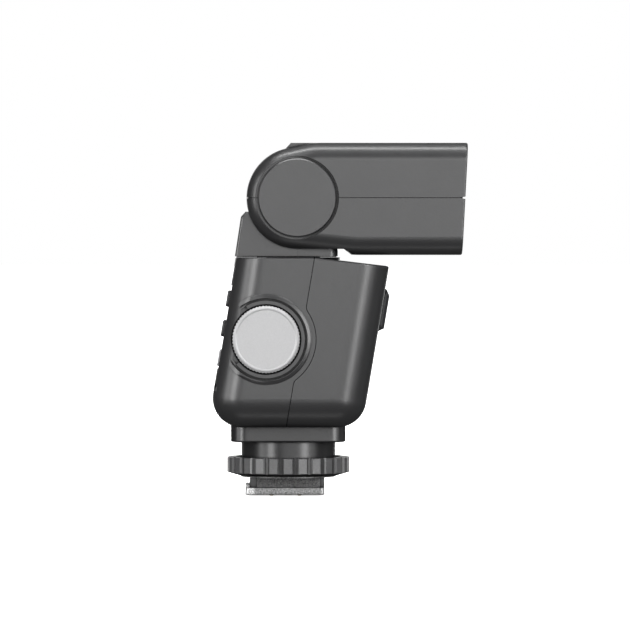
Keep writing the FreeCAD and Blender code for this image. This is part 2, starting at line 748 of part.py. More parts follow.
def behind_seam(margin):
    """Everything behind the casing's seam, which runs round the dial on the right side."""
    low, high = 0.0, 1.5 * FAR

    def seam_x(z):
        return SEAM_TOP_X - (BODY_TOP - z) * SLOPE + margin

    outline = [(-FAR, low), (seam_x(low), low), (seam_x(high), high), (-FAR, high)]
    left = prism(outline, (0, FAR))
    right = prism(outline, (-FAR, 0))
    bulge = rod(DIAL_SEAM_R + margin, (DIAL_X, -FAR, DIAL_Z), (DIAL_X, 0, DIAL_Z))
    right = right.fuse(bulge).removeSplitter()
    inner = [e for e in right.Edges if span(e, "y") > FAR - 1 and span(e, "x") < 1e-3 and
             low < e.BoundBox.ZMin < high and e.BoundBox.XMin > 0]
    right = right.makeFillet(DIAL_SEAM_BLEND_R, inner)
    return left.fuse(right)


def dial_rod(radius, y):
    """A bar on the dial's axis between two Y values."""
    return rod(radius, (DIAL_X, y[0], DIAL_Z), (DIAL_X, y[1], DIAL_Z))


def wedge(angles):
    """A sector about the dial's axis, between two angles in degrees from +X towards +Z."""
    first, last = (math.radians(a) for a in angles)
    middle = (first + last) / 2
    reach = 2 * GROOVE_R
    outline = [(DIAL_X, DIAL_Z)]
    outline += [(DIAL_X + reach * math.cos(a), DIAL_Z + reach * math.sin(a)) for a in (first, middle, last)]
    return prism(outline, (-FAR, 0))


def dial_cut():
    """The dial's pocket, the dark groove round it and the gap at the back of its collar."""
    pocket = dial_rod(POCKET_R, (-FAR, POCKET_FLOOR))
    groove = tube_y(GROOVE_R, COLLAR_R, DIAL_X, DIAL_Z, (-FAR, GROOVE_FLOOR))
    shaft_hole = dial_rod(DIAL_SHAFT_R + PLAY, (-FAR, ENCODER_Y[0]))
    ring = tube_y(COLLAR_R + 2 * PLAY, POCKET_R - 2 * PLAY, DIAL_X, DIAL_Z, (-FAR, COLLAR_GAP_FLOOR))
    return pocket.fuse([groove, shaft_hole, ring.common(wedge(COLLAR_GAP_ANGLES))])


def dial_boss():
    """The low raised ring round the dial's groove."""
    crest = BODY_HALF_WIDTH + BOSS_PROUD
    root = COLLAR_Y[1]
    boss = turned_y([(GROOVE_R, root), (BOSS_R, root), (BOSS_R, -BODY_HALF_WIDTH), (GROOVE_R + BOSS_CREST, -crest),
                     (GROOVE_R, -crest)], DIAL_X, DIAL_Z)
    return boss.common(body_block(-BOSS_PROUD))


def dial_cup():
    """The cup behind the dial and the collar round it."""
    cup = dial_rod(COLLAR_R + CUP_WALL, (-BODY_HALF_WIDTH + BOSS_PROUD, POCKET_FLOOR + CUP_FLOOR))
    cup = cup.common(body_block(4 * PLAY))
    collar = tube_y(COLLAR_R, POCKET_R, DIAL_X, DIAL_Z, COLLAR_Y).cut(wedge(COLLAR_GAP_ANGLES))
    return [cup, collar]


def port_outline(grow, z_grow):
    """The leaning outline of the port cover on the left side."""
    low, high = PORT_Z[0] - z_grow, PORT_Z[1] + z_grow
    return leaning(PORT_FROM - grow, PORT_TO + grow, low, high)


def leaning(start, end, low, high):
    """A four-sided outline that follows the casing's lean, between two distances forward of the rear face."""
    return [(rear_x(low) + start, low), (rear_x(low) + end, low), (rear_x(high) + end, high),
            (rear_x(high) + start, high)]


def port_knuckle(radius, z_grow):
    """The round bead along the cover's front edge."""
    y = BODY_HALF_WIDTH - PORT_KNUCKLE_R
    offset = PORT_TO - PORT_KNUCKLE_R
    ends = [(rear_x(z) + offset, y, z) for z in (PORT_Z[0] - z_grow, PORT_Z[1] + z_grow)]
    return rod(radius, *ends)


def port_recess():
    """Room in the left side for the cover, and for its bead to turn."""
    floor = BODY_HALF_WIDTH - PORT_COVER_THICK - PORT_PLAY
    recess = prism(port_outline(PORT_PLAY, PORT_END_PLAY), (floor, FAR))
    front = PORT_TO - PORT_KNUCKLE_R
    low, high = PORT_Z[0] - PORT_END_PLAY, PORT_Z[1] + PORT_END_PLAY
    relief = prism(leaning(front, front + PORT_RELIEF, low, high), (BODY_HALF_WIDTH - PORT_KNUCKLE_R, FAR))
    return recess.fuse([port_knuckle(PORT_KNUCKLE_R + PORT_KNUCKLE_PLAY, PORT_END_PLAY), relief])


def port_middle(z):
    """X of the sockets' middle line at height z."""
    return rear_x(z) + (PORT_FROM + PORT_TO) / 2 - PORT_MIDDLE_SHIFT


def usb_form(grow, y):
    """The rounded slot of the charging socket, standing along the casing's lean."""
    half_width, half_height = (half + grow for half in USB_HALF)
    shape = box((-half_width, half_width), y, (-half_height, half_height))
    shape = rounded_along(shape, USB_CORNER_R + grow, "y")
    shape.Placement = FreeCAD.Placement(V(port_middle(USB_Z), 0, USB_Z), LEAN_TURN)
    return shape


def jack_rod(radius, y):
    """A bar on the sync jack's axis between two Y values."""
    x = port_middle(JACK_Z)
    return rod(radius, (x, y[0], JACK_Z), (x, y[1], JACK_Z))


def rear_openings():
    """The shallow band across the rear face, the keys' holes and the display's window."""
    band_half = (REAR_BAND_Z[1] - REAR_BAND_Z[0]) / 2 / LEAN_COS
    band = box((-FAR, REAR_BAND_DEPTH), (-FAR, FAR), (-band_half, band_half))
    pane = centred(DISPLAY_Y, DISPLAY_SIZE, PLAY, (-PAST, DISPLAY_GLASS_DEPTH[1]))
    view = centred(DISPLAY_Y, DISPLAY_SIZE, -DISPLAY_LEDGE, (-PAST, DISPLAY_GLASS_DEPTH[1] + WALL))
    cuts = [on_rear(band, sum(REAR_BAND_Z) / 2), on_rear(view, DISPLAY_Z),
            on_rear(rounded_along(pane, DISPLAY_CORNER_R + PLAY, "x"), DISPLAY_Z)]
    for z in BUTTON_Z:
        hole = centred(BUTTON_Y, BUTTON_SIZE, BUTTON_PLAY, (-PAST, BUTTON_HOLE_DEPTH))
        cuts.append(on_rear(rounded_along(hole, BUTTON_CORNER_R + BUTTON_PLAY, "x"), z))
    return cuts


def centred(y, size, grow, depth):
    """A block of a width and height centred at y, grown all round, between two depths into a face."""
    half_width, half_height = (side / 2 + grow for side in size)
    return box(depth, (y - half_width, y + half_width), (-half_height, half_height))


def seat_flange(radius, z):
    """A disc with a flat at the rear, so that it stays inside the casing's rear wall."""
    disc = rod(radius, (0, 0, z[0]), (0, 0, z[1]))
    return disc.cut(box((-FAR, -radius + SEAT_FLAT), (-FAR, FAR), (z[0] - PAST, z[1] + PAST)))


def swivel_pocket():
    pocket = seat_flange(SEAT_R + PLAY, (SEAT_LIP_Z - PLAY, FAR + BODY_BOTTOM))
    return pocket.fuse(rod(SEAT_WAIST_R + PLAY, (0, 0, FAR), (0, 0, FAR + BODY_BOTTOM)))


def casing_bosses():
    """The screw bosses inside the casing and the pad behind the port cover."""
    floor = BODY_BOTTOM + PAST
    bosses = [rod(FOOT_BOSS_R, (x, y, floor), (x, y, FOOT_BOSS_TOP)) for x, y in four_spots(*FOOT_SCREWS)]
    for y in (-CASING_SCREW_Y, CASING_SCREW_Y):
        bosses.append(on_rear(rod(CASING_BOSS_R, (CASING_BOSS_START, y, 0), (CASING_BOSS_END, y, 0)), CASING_SCREW_Z))
        post = on_rear(rod(CASING_POST_R, (CASING_POST_START, y, 0), (FAR, y, 0)), CASING_SCREW_Z)
        bosses.append(post.common(body_block(BOSS_INSET)))
    pad = prism(port_outline(PORT_PAD_RIM, PORT_PAD_RIM), (PORT_PAD_Y, BODY_HALF_WIDTH - PAST))
    return bosses + [pad.common(body_block(BOSS_INSET))]


def casing_cuts():
    """Every opening in the casing."""
    cuts = rear_openings() + [dial_cut(), port_recess(), swivel_pocket(), block_body(PLAY)]
    cuts.append(rod(SPIGOT_R + 2 * PLAY, (0, 0, 0), (0, 0, FAR / 2)))
    cuts.append(usb_form(USB_PLAY, (USB_Y, FAR)))
    cuts.append(jack_rod(JACK_BODY_R + 2 * PLAY, (JACK_BODY_Y, FAR)))
    screw_end = FOOT_SCREW_TIP + 2 * PLAY
    cuts += [rod(FOOT_SCREW_R + SNUG, (x, y, 0), (x, y, screw_end)) for x, y in four_spots(*FOOT_SCREWS)]
    for y in (-CASING_SCREW_Y, CASING_SCREW_Y):
        head = rod(CASING_SCREW_HEAD_R + 2 * PLAY, (-PAST, y, 0), (CASING_SCREW_HEAD[1] + SNUG, y, 0))
        shank = rod(CASING_SCREW_R + SNUG, (PAST, y, 0), (CASING_SCREW_LENGTH + 4 * PLAY, y, 0))
        cuts += [on_rear(head, CASING_SCREW_Z), on_rear(shank, CASING_SCREW_Z)]
    cuts.append(on_front(box(*ASSIST_HOLE), ASSIST_Z))
    return cuts


def casing_halves():
    """The casing split at its seam: the halves meet behind a shallow shadow line."""
    whole = casing_outside().fuse(dial_boss()).cut(body_block(WALL))
    whole = whole.fuse(dial_cup() + casing_bosses()).cut(casing_cuts())
    rear = largest(whole.common(behind_seam(0.0)))
    front = whole.cut(behind_seam(SNUG)).cut(behind_seam(SEAM_GAP).cut(body_block(SEAM_DEPTH)))
    return rear, largest(front)


def display_glass():
    pane = centred(DISPLAY_Y, DISPLAY_SIZE, 0.0, DISPLAY_GLASS_DEPTH)
    return on_rear(rounded_along(pane, DISPLAY_CORNER_R, "x"), DISPLAY_Z)


def display_panel():
    return on_rear(centred(DISPLAY_Y, DISPLAY_SIZE, 0.0, DISPLAY_PANEL_DEPTH), DISPLAY_Z)


def button(index):
    """A key with a rounded face and a flange that keeps it in the casing."""
    proud = BUTTON_PROUD[index]
    cap = rounded_along(centred(BUTTON_Y, BUTTON_SIZE, 0.0, (-proud, BUTTON_DEPTH)), BUTTON_CORNER_R, "x")
    cap = rounded_at(cap, 0.75 * min(BUTTON_PROUD[0], proud), "x", -proud)
    flange = centred(BUTTON_Y, BUTTON_SIZE, BUTTON_FLANGE_RIM, BUTTON_FLANGE)
    stem = rod(BUTTON_STEM_R, (BUTTON_DEPTH, BUTTON_Y, 0), (BUTTON_STEM_END, BUTTON_Y, 0))
    return on_rear(fused([cap, flange, stem]), BUTTON_Z[index])


def button_board():
    reach = (BUTTON_Z[0] - BUTTON_Z[2]) / 2 / LEAN_COS + BUTTON_BOARD_MARGIN
    return on_rear(box(BUTTON_BOARD_DEPTH, BUTTON_BOARD_Y, (-reach, reach)), BUTTON_Z[1])


def tact_switches():
    half = SWITCH_HALF
    switches = []
    for z in BUTTON_Z:
        body = box(SWITCH_DEPTH, (BUTTON_Y - half, BUTTON_Y + half), (-half, half))
        plunger = rod(BUTTON_STEM_R, (SWITCH_PLUNGER_TOP, BUTTON_Y, 0), (SWITCH_DEPTH[1], BUTTON_Y, 0))
        switches.append(on_rear(body.fuse(plunger), z))
    return group(switches)


def casing_screws():
    """The two long screws that enter the rear face square to it."""
    face, end = CASING_SCREW_HEAD
    half = RECESS_SPAN * CASING_SCREW_HEAD_R
    thin = CROSS_SHARE * half
    screws = []
    for y in (-CASING_SCREW_Y, CASING_SCREW_Y):
        head = rod(CASING_SCREW_HEAD_R, (face, y, 0), (end, y, 0))
        shank = rod(CASING_SCREW_R, ((face + end) / 2, y, 0), (CASING_SCREW_LENGTH, y, 0))
        depth = (0, (face + end) / 2)
        slots = [box(depth, (y - a, y + a), (-b, b)) for a, b in ((half, thin), (thin, half))]
        screws.append(on_rear(head.fuse(shank).cut(slots), CASING_SCREW_Z))
    return group(screws)


# ---- parts inside the body ----

def main_board():
    return on_rear(box(*MAIN_BOARD), MAIN_BOARD_Z)


def main_capacitor():
    x, z = CAPACITOR_AT
    can = rod(CAPACITOR_R, (x, -CAPACITOR_HALF, z), (x, CAPACITOR_HALF, z))
    for end in (-CAPACITOR_HALF, CAPACITOR_HALF):
        can = rounded_at(can, CAPACITOR_EDGE_R, "y", end)
    return can


def step_up_transformer():
    x, y, z = TRANSFORMER_CORE
    middle_x, middle_z = sum(x) / 2, sum(z) / 2
    proud = TRANSFORMER_BOBBIN_PROUD
    bobbin = rod(TRANSFORMER_BOBBIN_R, (middle_x, y[0] - proud, middle_z), (middle_x, y[1] + proud, middle_z))
    return box(x, y, z).fuse(bobbin)


def battery_pack():
    return rounded_along(box(*BATTERY), BATTERY_EDGE_R, "y")


def dial_encoder():
    half = ENCODER_HALF
    body = box((DIAL_X - half, DIAL_X + half), ENCODER_Y, (DIAL_Z - half, DIAL_Z + half))
    return body.cut(dial_rod(DIAL_SHAFT_R + PLAY, (ENCODER_Y[0] - PAST, DIAL_SHAFT_END + 4 * PLAY)))


def control_dial():
    """The dial's cap: fine upright knurls on the rim and a bevelled, slightly dished face."""
    outer, inner = DIAL_Y
    points = []
    for i in range(2 * DIAL_KNURLS):
        angle = math.pi * i / DIAL_KNURLS
        radius = DIAL_R - DIAL_KNURL_DEPTH * (i % 2)
        points.append(V(DIAL_X + radius * math.cos(angle), outer - PAST, DIAL_Z + radius * math.sin(angle)))
    knurled = outward(Part.Face(Part.makePolygon(points + points[:1])).extrude(V(0, inner - outer + 2 * PAST, 0)))
    rim = DIAL_FACE_R - DIAL_FACE_RIM
    form = turned_y([(0, outer + DIAL_DISH), (rim - DIAL_FACE_RIM, outer + DIAL_DISH), (rim, outer),
                     (DIAL_FACE_R, outer), (DIAL_R + 2 * PLAY, outer + DIAL_BEVEL), (DIAL_R + 2 * PLAY, inner),
                     (0, inner)], DIAL_X, DIAL_Z)
    return form.common(knurled).cut(dial_rod(DIAL_SHAFT_R + SNUG, (inner - DIAL_BORE_DEPTH, inner + PAST)))


def dial_shaft():
    return dial_rod(DIAL_SHAFT_R, (DIAL_Y[1] - DIAL_BORE_DEPTH + 2 * PLAY, DIAL_SHAFT_END))


def port_cover():
    """The rubber cover: a thin leaf that turns on the rounded bead along its front edge."""
    low, high = PORT_Z
    hinge = PORT_TO - PORT_KNUCKLE_R
    leaf = prism(leaning(PORT_FROM, hinge, low, high), (BODY_HALF_WIDTH - PORT_COVER_THICK, BODY_HALF_WIDTH))
    start, end = (PORT_FROM + offset for offset in PORT_GRIP)
    grip = prism(leaning(start, end, low + PORT_GRIP_INSET, high - PORT_GRIP_INSET),
                 (BODY_HALF_WIDTH - PORT_COVER_THICK / 2, BODY_HALF_WIDTH + PORT_GRIP_PROUD))
    return leaf.fuse([port_knuckle(PORT_KNUCKLE_R, 0), grip])


def usb_socket():
    outer = usb_form(0.0, (USB_Y, SOCKET_FACE_Y))
    cavity = usb_form(-USB_WALL, (USB_FLOOR_Y, FAR))
    tongue = box(*USB_TONGUE)
    tongue.Placement = FreeCAD.Placement(V(port_middle(USB_Z), 0, USB_Z), LEAN_TURN)
    return outer.cut(cavity).fuse(tongue).removeSplitter()


def sync_jack():
    body = jack_rod(JACK_BODY_R, (JACK_BODY_Y, SOCKET_FACE_Y))
    return body.cut(jack_rod(JACK_R, (SOCKET_FACE_Y - JACK_DEPTH, FAR)))


def assist_bezel():
    """A raised frame whose lower end is steeper than its upper end."""
    width, height = ASSIST_SIZE
    half = height / 2
    low_slope, high_slope, high_thick = ASSIST_SECTION
    frame = centred(0.0, ASSIST_SIZE, 0.0, (0.0, ASSIST_PROUD))
    frame = rounded_along(frame, ASSIST_CORNER_R, "x")
    frame = frame.makeChamfer(ASSIST_SIDE_CHAMFER, edges_at(frame, "x", ASSIST_PROUD))
    section = prism([(0, -half), (ASSIST_PROUD, low_slope - half), (ASSIST_PROUD, half - high_slope),
                     (high_thick, half), (0, half)], (-width, width))
    shape = frame.common(section).fuse(box(*ASSIST_SPIGOT)).removeSplitter()
    return on_front(shape.cut(box(*ASSIST_WINDOW)), ASSIST_Z)


def assist_lens():
    return on_front(rounded_along(box(*ASSIST_LENS), ASSIST_LENS_R, "y"), ASSIST_Z)


# ---- swivel ----

def swivel_seat():
    """The bearing in the casing's top: a lip above the wall, a waist through it and a flange below."""
    low, high = SEAT_Z
    lip = seat_flange(SEAT_R, (SEAT_LIP_Z, high))
    waist = rod(SEAT_WAIST_R, (0, 0, low), (0, 0, high - 4 * PLAY))
    lower = seat_flange(SEAT_R - SEAT_LOWER_STEP, (low, SEAT_LOWER_TOP))
    rear = box((-FAR, -SEAT_R + SEAT_FLAT + 4 * PLAY), (-FAR, FAR), (low - PAST, SEAT_LOWER_TOP + PAST))
    shape = fused([lip, waist, lower.cut(rear)])
    return shape.cut(rod(SEAT_BORE_R, (0, 0, 0), (0, 0, 2 * FAR)))


def swivel_hub():
    """The hollow hub that turns in the seat, with a flange that the neck is screwed to."""
    foot = HUB_FOOT_R
    shoulder = RETAINER_Z[1]
    low, high = HUB_FLANGE_Z
    hub = turned_z([(HUB_BORE_R, HUB_BOTTOM), (foot, HUB_BOTTOM), (foot, shoulder), (HUB_R, shoulder), (HUB_R, low),
                    (HUB_FLANGE_R, low), (HUB_FLANGE_R, high), (HUB_BORE_R, high)])
    for x, y in on_ring(NECK_SCREW_RING_R):
        hub = hub.cut(rod(NECK_SCREW_R + PLAY, (x, y, BODY_TOP), (x, y, high + PAST)))
    return hub


def swivel_retainer():
    return tube_z(RETAINER_R, HUB_FOOT_R + SNUG, RETAINER_Z)


def swivel_spring():
    """A cone washer that takes up the play under the seat."""
    low = RETAINER_Z[1] + SNUG
    high = SEAT_Z[0] - PLAY
    inner = HUB_R + 4 * PLAY
    outer = RETAINER_R + 2 * PLAY
    return turned_z([(inner, high - WASHER_THICK), (inner, high), (outer, low + WASHER_THICK), (outer, low)])


def neck_screws():
    seat = HUB_FLANGE_Z[1]
    screws = []
    for x, y in on_ring(NECK_SCREW_RING_R):
        head = rod(NECK_SCREW_HEAD_R, (x, y, seat), (x, y, seat + NECK_SCREW_HEAD_HEIGHT))
        screws.append(head.fuse(rod(NECK_SCREW_R, (x, y, NECK_SCREW_TIP), (x, y, seat + NECK_SCREW_HEAD_HEIGHT / 2))))
    return group(screws)


# ---- neck ----

def neck_form():
    """The neck's outer form: a leaning block on a smaller foot, with the hinge drum on top."""
    half = NECK_HALF_WIDTH
    bottom = NECK_BOTTOM + NECK_FOOT_HEIGHT
    rear, front = NECK_X
    outline = [(rear, bottom)] + NECK_REAR + [(HINGE_X, HINGE_Z)] + NECK_FRONT + [(front, bottom)]
    shape = prism(outline, (-half, half))
    front_edges = [e for e in shape.Edges if e.BoundBox.XMin > NECK_FRONT[0][0] - 0.5 and span(e, "y") < 1e-3]
    shape = shape.makeFillet(NECK_FRONT_R, front_edges)
    rear_edges = [e for e in shape.Edges if e.BoundBox.XMax < NECK_REAR[1][0] + 0.5 and span(e, "y") < 1e-3
                  and span(e, "z") > 1]
    shape = shape.makeFillet(NECK_REAR_R, rear_edges)
    step = NECK_FOOT_STEP
    foot = box((rear + step, front - step), (-half + step, half - step), (NECK_BOTTOM, bottom + PAST))
    foot = rounded_along(foot, NECK_FRONT_R - step, "z")
    drum = rod(NECK_DRUM_R, (HINGE_X, -half, HINGE_Z), (HINGE_X, half, HINGE_Z))
    drum = drum.makeChamfer(NECK_DRUM_CHAMFER, edges_at(drum, "y", half) + edges_at(drum, "y", -half))
    return fused([shape, foot, drum])


def neck():
    """The hollow neck before it is split."""
    half = NECK_HALF_WIDTH - WALL
    rear, front = NECK_CAVITY_X
    outline = ([(rear, NECK_FLOOR)] + NECK_CAVITY_REAR + [(HINGE_X, HINGE_Z - WALL)] + NECK_CAVITY_FRONT +
               [(front, NECK_FLOOR)])
    drum = rod(NECK_DRUM_R - WALL, (HINGE_X, -half, HINGE_Z), (HINGE_X, half, HINGE_Z))
    shape = neck_form().cut(prism(outline, (-half, half)).fuse(drum))
    shape = shape.cut(rod(AXLE_R + PLAY, (HINGE_X, -FAR, HINGE_Z), (HINGE_X, FAR, HINGE_Z)))
    shape = shape.cut(rod(HUB_R + SNUG, (0, 0, 0), (0, 0, HUB_FLANGE_Z[1])))
    for x, y in on_ring(NECK_SCREW_RING_R):
        shape = shape.cut(rod(NECK_SCREW_R + SNUG, (x, y, NECK_SCREW_TIP - 2 * PLAY), (x, y, HINGE_Z)))
    return shape


def neck_halves():
    whole = neck()
    rear = whole.common(box((-FAR, NECK_SPLIT_X - SNUG), (-FAR, FAR), (0, 2 * FAR)))
    front = whole.common(box((NECK_SPLIT_X + SNUG, FAR), (-FAR, FAR), (0, 2 * FAR)))
    return largest(rear), largest(front)


def wiring_loom():
    """The cable bundle from the body, up through the hub and out along the hollow axle."""
    path = Part.BSplineCurve()
    path.interpolate([V(*point) for point in LOOM_PATH])
    start = path.value(path.FirstParameter)
    along = path.tangent(path.FirstParameter)[0]
    ring = Part.Wire(Part.Circle(start, along, LOOM_R).toShape())
    return Part.Wire(path.toShape()).makePipeShell([ring], True, True)


def tilt_detent_spring():
    """A leaf spring with a roller that drops into the notches of the detent disc."""
    rear = DETENT_SPRING_X
    roller_z = HINGE_Z - DETENT_ROLLER_DROP
    top = roller_z - DETENT_ROLLER_R + PLAY
    foot = box((rear, rear + DETENT_SPRING_THICK), DETENT_Y, (NECK_FLOOR, top))
    leaf = box((rear, HINGE_X), DETENT_Y, (top - DETENT_SPRING_THICK, top))
    roller = rod(DETENT_ROLLER_R, (HINGE_X, DETENT_Y[0], roller_z), (HINGE_X, DETENT_Y[1], roller_z))
    return fused([foot, leaf, roller])


# ---- head shells ----

def barrel_run(slope_degrees, bend_r, level):
    """Side-view points from where the barrel is left at a slope to where a bend has met the head's top or underside."""
    slope = math.radians(slope_degrees)
    height = abs(level)
    bend_x = (height * math.cos(slope) - BARREL_R) / math.sin(slope)
    reach = bend_r * math.tan(slope / 2)
    sag = bend_r * (1 / math.cos(slope / 2) - 1)
    points = ((-BARREL_R * math.sin(slope), BARREL_R * math.cos(slope)),
              (bend_x - reach * math.cos(slope), height - reach * math.sin(slope)),
              (bend_x + sag * math.sin(slope / 2), height - sag * math.cos(slope / 2)),
              (bend_x + reach, height))
    return [V(x, -HEAD_HALF_WIDTH, math.copysign(z, level)) for x, z in points]


def head_outline():
    """Side view of the head about the hinge: a round barrel at the rear that runs into a raked box."""
    rake = math.tan(math.radians(HEAD_RAKE))
    top = barrel_run(HEAD_REAR_SLOPE, HEAD_REAR_SLOPE_R, HEAD_TOP)
    under = barrel_run(HEAD_UNDER_SLOPE, HEAD_UNDER_SLOPE_R, HEAD_BOTTOM)
    top_front, under_front = [V(HEAD_FRONT_X + z * rake, -HEAD_HALF_WIDTH, z) for z in (HEAD_TOP, HEAD_BOTTOM)]
    edges = [Part.makeLine(a, b) for a, b in ((top[0], top[1]), (top[3], top_front), (top_front, under_front),
                                              (under_front, under[3]), (under[1], under[0]))]
    rear = V(-BARREL_R, -HEAD_HALF_WIDTH, 0)
    edges += [Part.Arc(*points).toShape() for points in (top[1:], under[1:], (under[0], rear, top[0]))]
    return Part.Wire(Part.__sortEdges__(edges))


def under_cut():
    """What is cut from under the head's rear, so that it clears the casing."""
    start, end = HEAD_STEP_X
    deep = HEAD_BOTTOM - PAST
    deep_x = end + PAST * (end - start) / (-BARREL_R - HEAD_BOTTOM)
    return prism([(-FAR, -BARREL_R), (start, -BARREL_R), (deep_x, deep), (-FAR, deep)], (-FAR, FAR))


def head_form():
    """The head's outer form, with the steep rear end of its top only between the rounded sides."""
    shape = outward(Part.Face(head_outline()).extrude(V(0, 2 * HEAD_HALF_WIDTH, 0)))
    front = HEAD_FRONT_X - HEAD_FRONT_ZONE
    sides = [e for e in shape.Edges if span(e, "y") < 1e-4 and e.BoundBox.XMin < front]
    shape = shape.makeFillet(HEAD_EDGE_R, sides)
    rim = [e for e in shape.Edges if e.BoundBox.XMin > front]
    shape = shape.makeFillet(HEAD_RIM_R, rim).cut(under_cut())
    foot_z = math.sqrt(BARREL_R ** 2 - RIDGE_FOOT_X ** 2)
    low = YOKE_GAP_R + PAST / 2
    ridge = prism([(RIDGE_FOOT_X, foot_z), (RIDGE_REAR_X, HEAD_TOP), (RIDGE_FRONT_X, HEAD_TOP), (RIDGE_FRONT_X, low),
                   (0, low), (0, foot_z)],
                  (-RIDGE_HALF_WIDTH, RIDGE_HALF_WIDTH))
    return shape.fuse(ridge).removeSplitter()


def yoke_gap():
    """The space behind and below the head's middle that the neck fills."""
    half = YOKE_GAP_HALF
    round_part = rod(YOKE_GAP_R, (0, -half, 0), (0, half, 0))
    angle = math.radians(YOKE_GAP_ANGLE)
    foot = (YOKE_GAP_R * math.cos(angle), YOKE_GAP_R * math.sin(angle))
    reach = FAR / 3
    front = YOKE_GAP_FRONT
    behind = prism([(RIDGE_FOOT_X, 0), (RIDGE_FOOT_X, reach), (-FAR, reach), (-FAR, -reach), (front[0], -reach),
                    front, foot], (-half, half))
    return round_part.fuse(behind)


def ear_cuts():
    """Room in one ear for the axle's flange, the pivot cap and its groove."""
    cavity = rod(EAR_CAVITY_R, (0, EAR_INNER_WALL, 0), (0, EAR_CAVITY_END, 0))
    axle = rod(AXLE_R + SNUG, (0, AXLE_INNER_Y, 0), (0, EAR_CAVITY_END, 0))
    seat = rod(CAP_SEAT_R, (0, EAR_CAVITY_END - 4 * PLAY, 0), (0, FAR, 0))
    pocket = rod(CAP_POCKET_R, (0, CAP_POCKET_FLOOR, 0), (0, FAR, 0))
    return cavity.fuse([axle, seat, pocket])


def head_room():
    """The head's inside, with blind holes for the guide rods and the lead screw."""
    rear = HEAD_ROOM[0][0]
    slot = box((PANEL_SLOT_X, FAR), (-PANEL_SLOT_HALF, PANEL_SLOT_HALF), PANEL_SLOT_Z)
    start = ROD_X[0] - PLAY
    holes = [rod(ROD_R + SNUG, (start, y, ROD_Z), (rear + PAST, y, ROD_Z)) for y in (-ROD_Y, ROD_Y)]
    holes.append(rod(SCREW_R + PLAY, (start, SCREW_Y, SCREW_Z), (rear + PAST, SCREW_Y, SCREW_Z)))
    return box(*HEAD_ROOM).fuse([box(*HEAD_MOUTH), slot] + holes)


def head_seam_cut():
    """The shadow line round the head where its halves meet, which opens into a notch at the front."""
    gap = HEAD_SEAM_GAP / 2
    side = HEAD_HALF_WIDTH - HEAD_SEAM_DEPTH
    core = box((-BARREL_R + HEAD_SEAM_DEPTH, NOTCH_X), (-side, side), (-gap, gap))
    core = rounded_along(core, HEAD_EDGE_R - HEAD_SEAM_DEPTH, "z")
    line = box((-FAR, FAR), (-FAR, FAR), (-gap, gap)).cut(core)
    end_x, end_z = NOTCH_END
    notch = prism([(NOTCH_X, 0), (end_x, end_z), (end_x, -end_z)], (-FAR, FAR))
    return line.fuse(notch)


def head_shells():
    ears = ear_cuts()
    form = head_form().cut(yoke_gap()).cut([ears, mirrored(ears), head_room(), head_seam_cut()])
    screw_from, screw_to = AXLE_SCREW_Y[0] - 2 * PLAY, EAR_CAVITY_END - 4 * PLAY
    for x, z in on_ring(AXLE_SCREW_RING_R):
        hole = rod(AXLE_SCREW_R + SNUG, (x, screw_from, z), (x, screw_to, z))
        form = form.cut([hole, mirrored(hole)])
    split = SNUG / 2
    upper = form.common(box((-FAR, FAR), (-FAR, FAR), (split, FAR)))
    lower = form.common(box((-FAR, FAR), (-FAR, FAR), (-FAR, -split)))
    upper = upper.cut(rod(THUMB_R, (THUMB_X, 0, THUMB_FLOOR), (THUMB_X, 0, FAR)))
    return from_hinge(largest(upper)), from_hinge(largest(lower))


def axle_screws():
    """The screws that hold both halves of the head to the axles' flanges."""
    tip, seat, top = AXLE_SCREW_Y
    head_from = AXLE_FLANGE_Y[1]
    screws = []
    for x, z in on_ring(AXLE_SCREW_RING_R):
        shank = rod(AXLE_SCREW_R, (x, tip, z), (x, seat, z))
        screw = shank.fuse(rod(AXLE_SCREW_HEAD_R, (x, head_from, z), (x, top, z)))
        screws += [from_hinge(screw), from_hinge(mirrored(screw))]
    return group(screws)


def pivot_cap(side):
    """The round cap over the hinge, with a broken outer edge."""
    inner, rim_low, rim_high, outer = CAP_Y
    seat = CAP_SEAT_R - PLAY
    cap = turned_y([(0, inner), (seat, inner), (seat, rim_low), (CAP_R, rim_low), (CAP_R, rim_high),
                    (CAP_R - CAP_EDGE, outer), (0, outer)], 0, 0)
    cap = cap.cut(rod(CAP_SEAT_R - CAP_HOLLOW_RIM, (0, inner - PAST, 0), (0, CAP_HOLLOW_END, 0)))
    return from_hinge(cap if side > 0 else mirrored(cap))


def tilt_axle(side):
    """A hollow axle with its flange; the left one is longer, to carry the detent disc."""
    inner = AXLE_INNER_Y if side > 0 else AXLE_INNER_Y + DETENT_DISC_THICK
    low, high = AXLE_FLANGE_Y
    axle = turned_y([(AXLE_BORE_R, inner), (AXLE_R, inner), (AXLE_R, low), (AXLE_FLANGE_R, low),
                     (AXLE_FLANGE_R, high), (AXLE_BORE_R, high)], 0, 0)
    for x, z in on_ring(AXLE_SCREW_RING_R):
        axle = axle.cut(rod(AXLE_SCREW_R + PLAY, (x, low - PAST, z), (x, high + PAST, z)))
    return from_hinge(axle if side > 0 else mirrored(axle))


def tilt_detent_disc():
    """The disc on the left axle's inner end, with a notch for each click stop."""
    start, end = AXLE_INNER_Y, AXLE_INNER_Y + DETENT_DISC_THICK
    disc = tube_y(DETENT_DISC_R, AXLE_R + SNUG, 0, 0, (start, end))
    for stop in DETENT_STOPS:
        angle = math.radians(-90 - stop)
        x = DETENT_NOTCH_RING_R * math.cos(angle)
        z = DETENT_NOTCH_RING_R * math.sin(angle)
        disc = disc.cut(rod(DETENT_NOTCH_R, (x, start - PAST, z), (x, end + PAST, z)))
    return from_hinge(disc)


# ---- flash optics and zoom ----

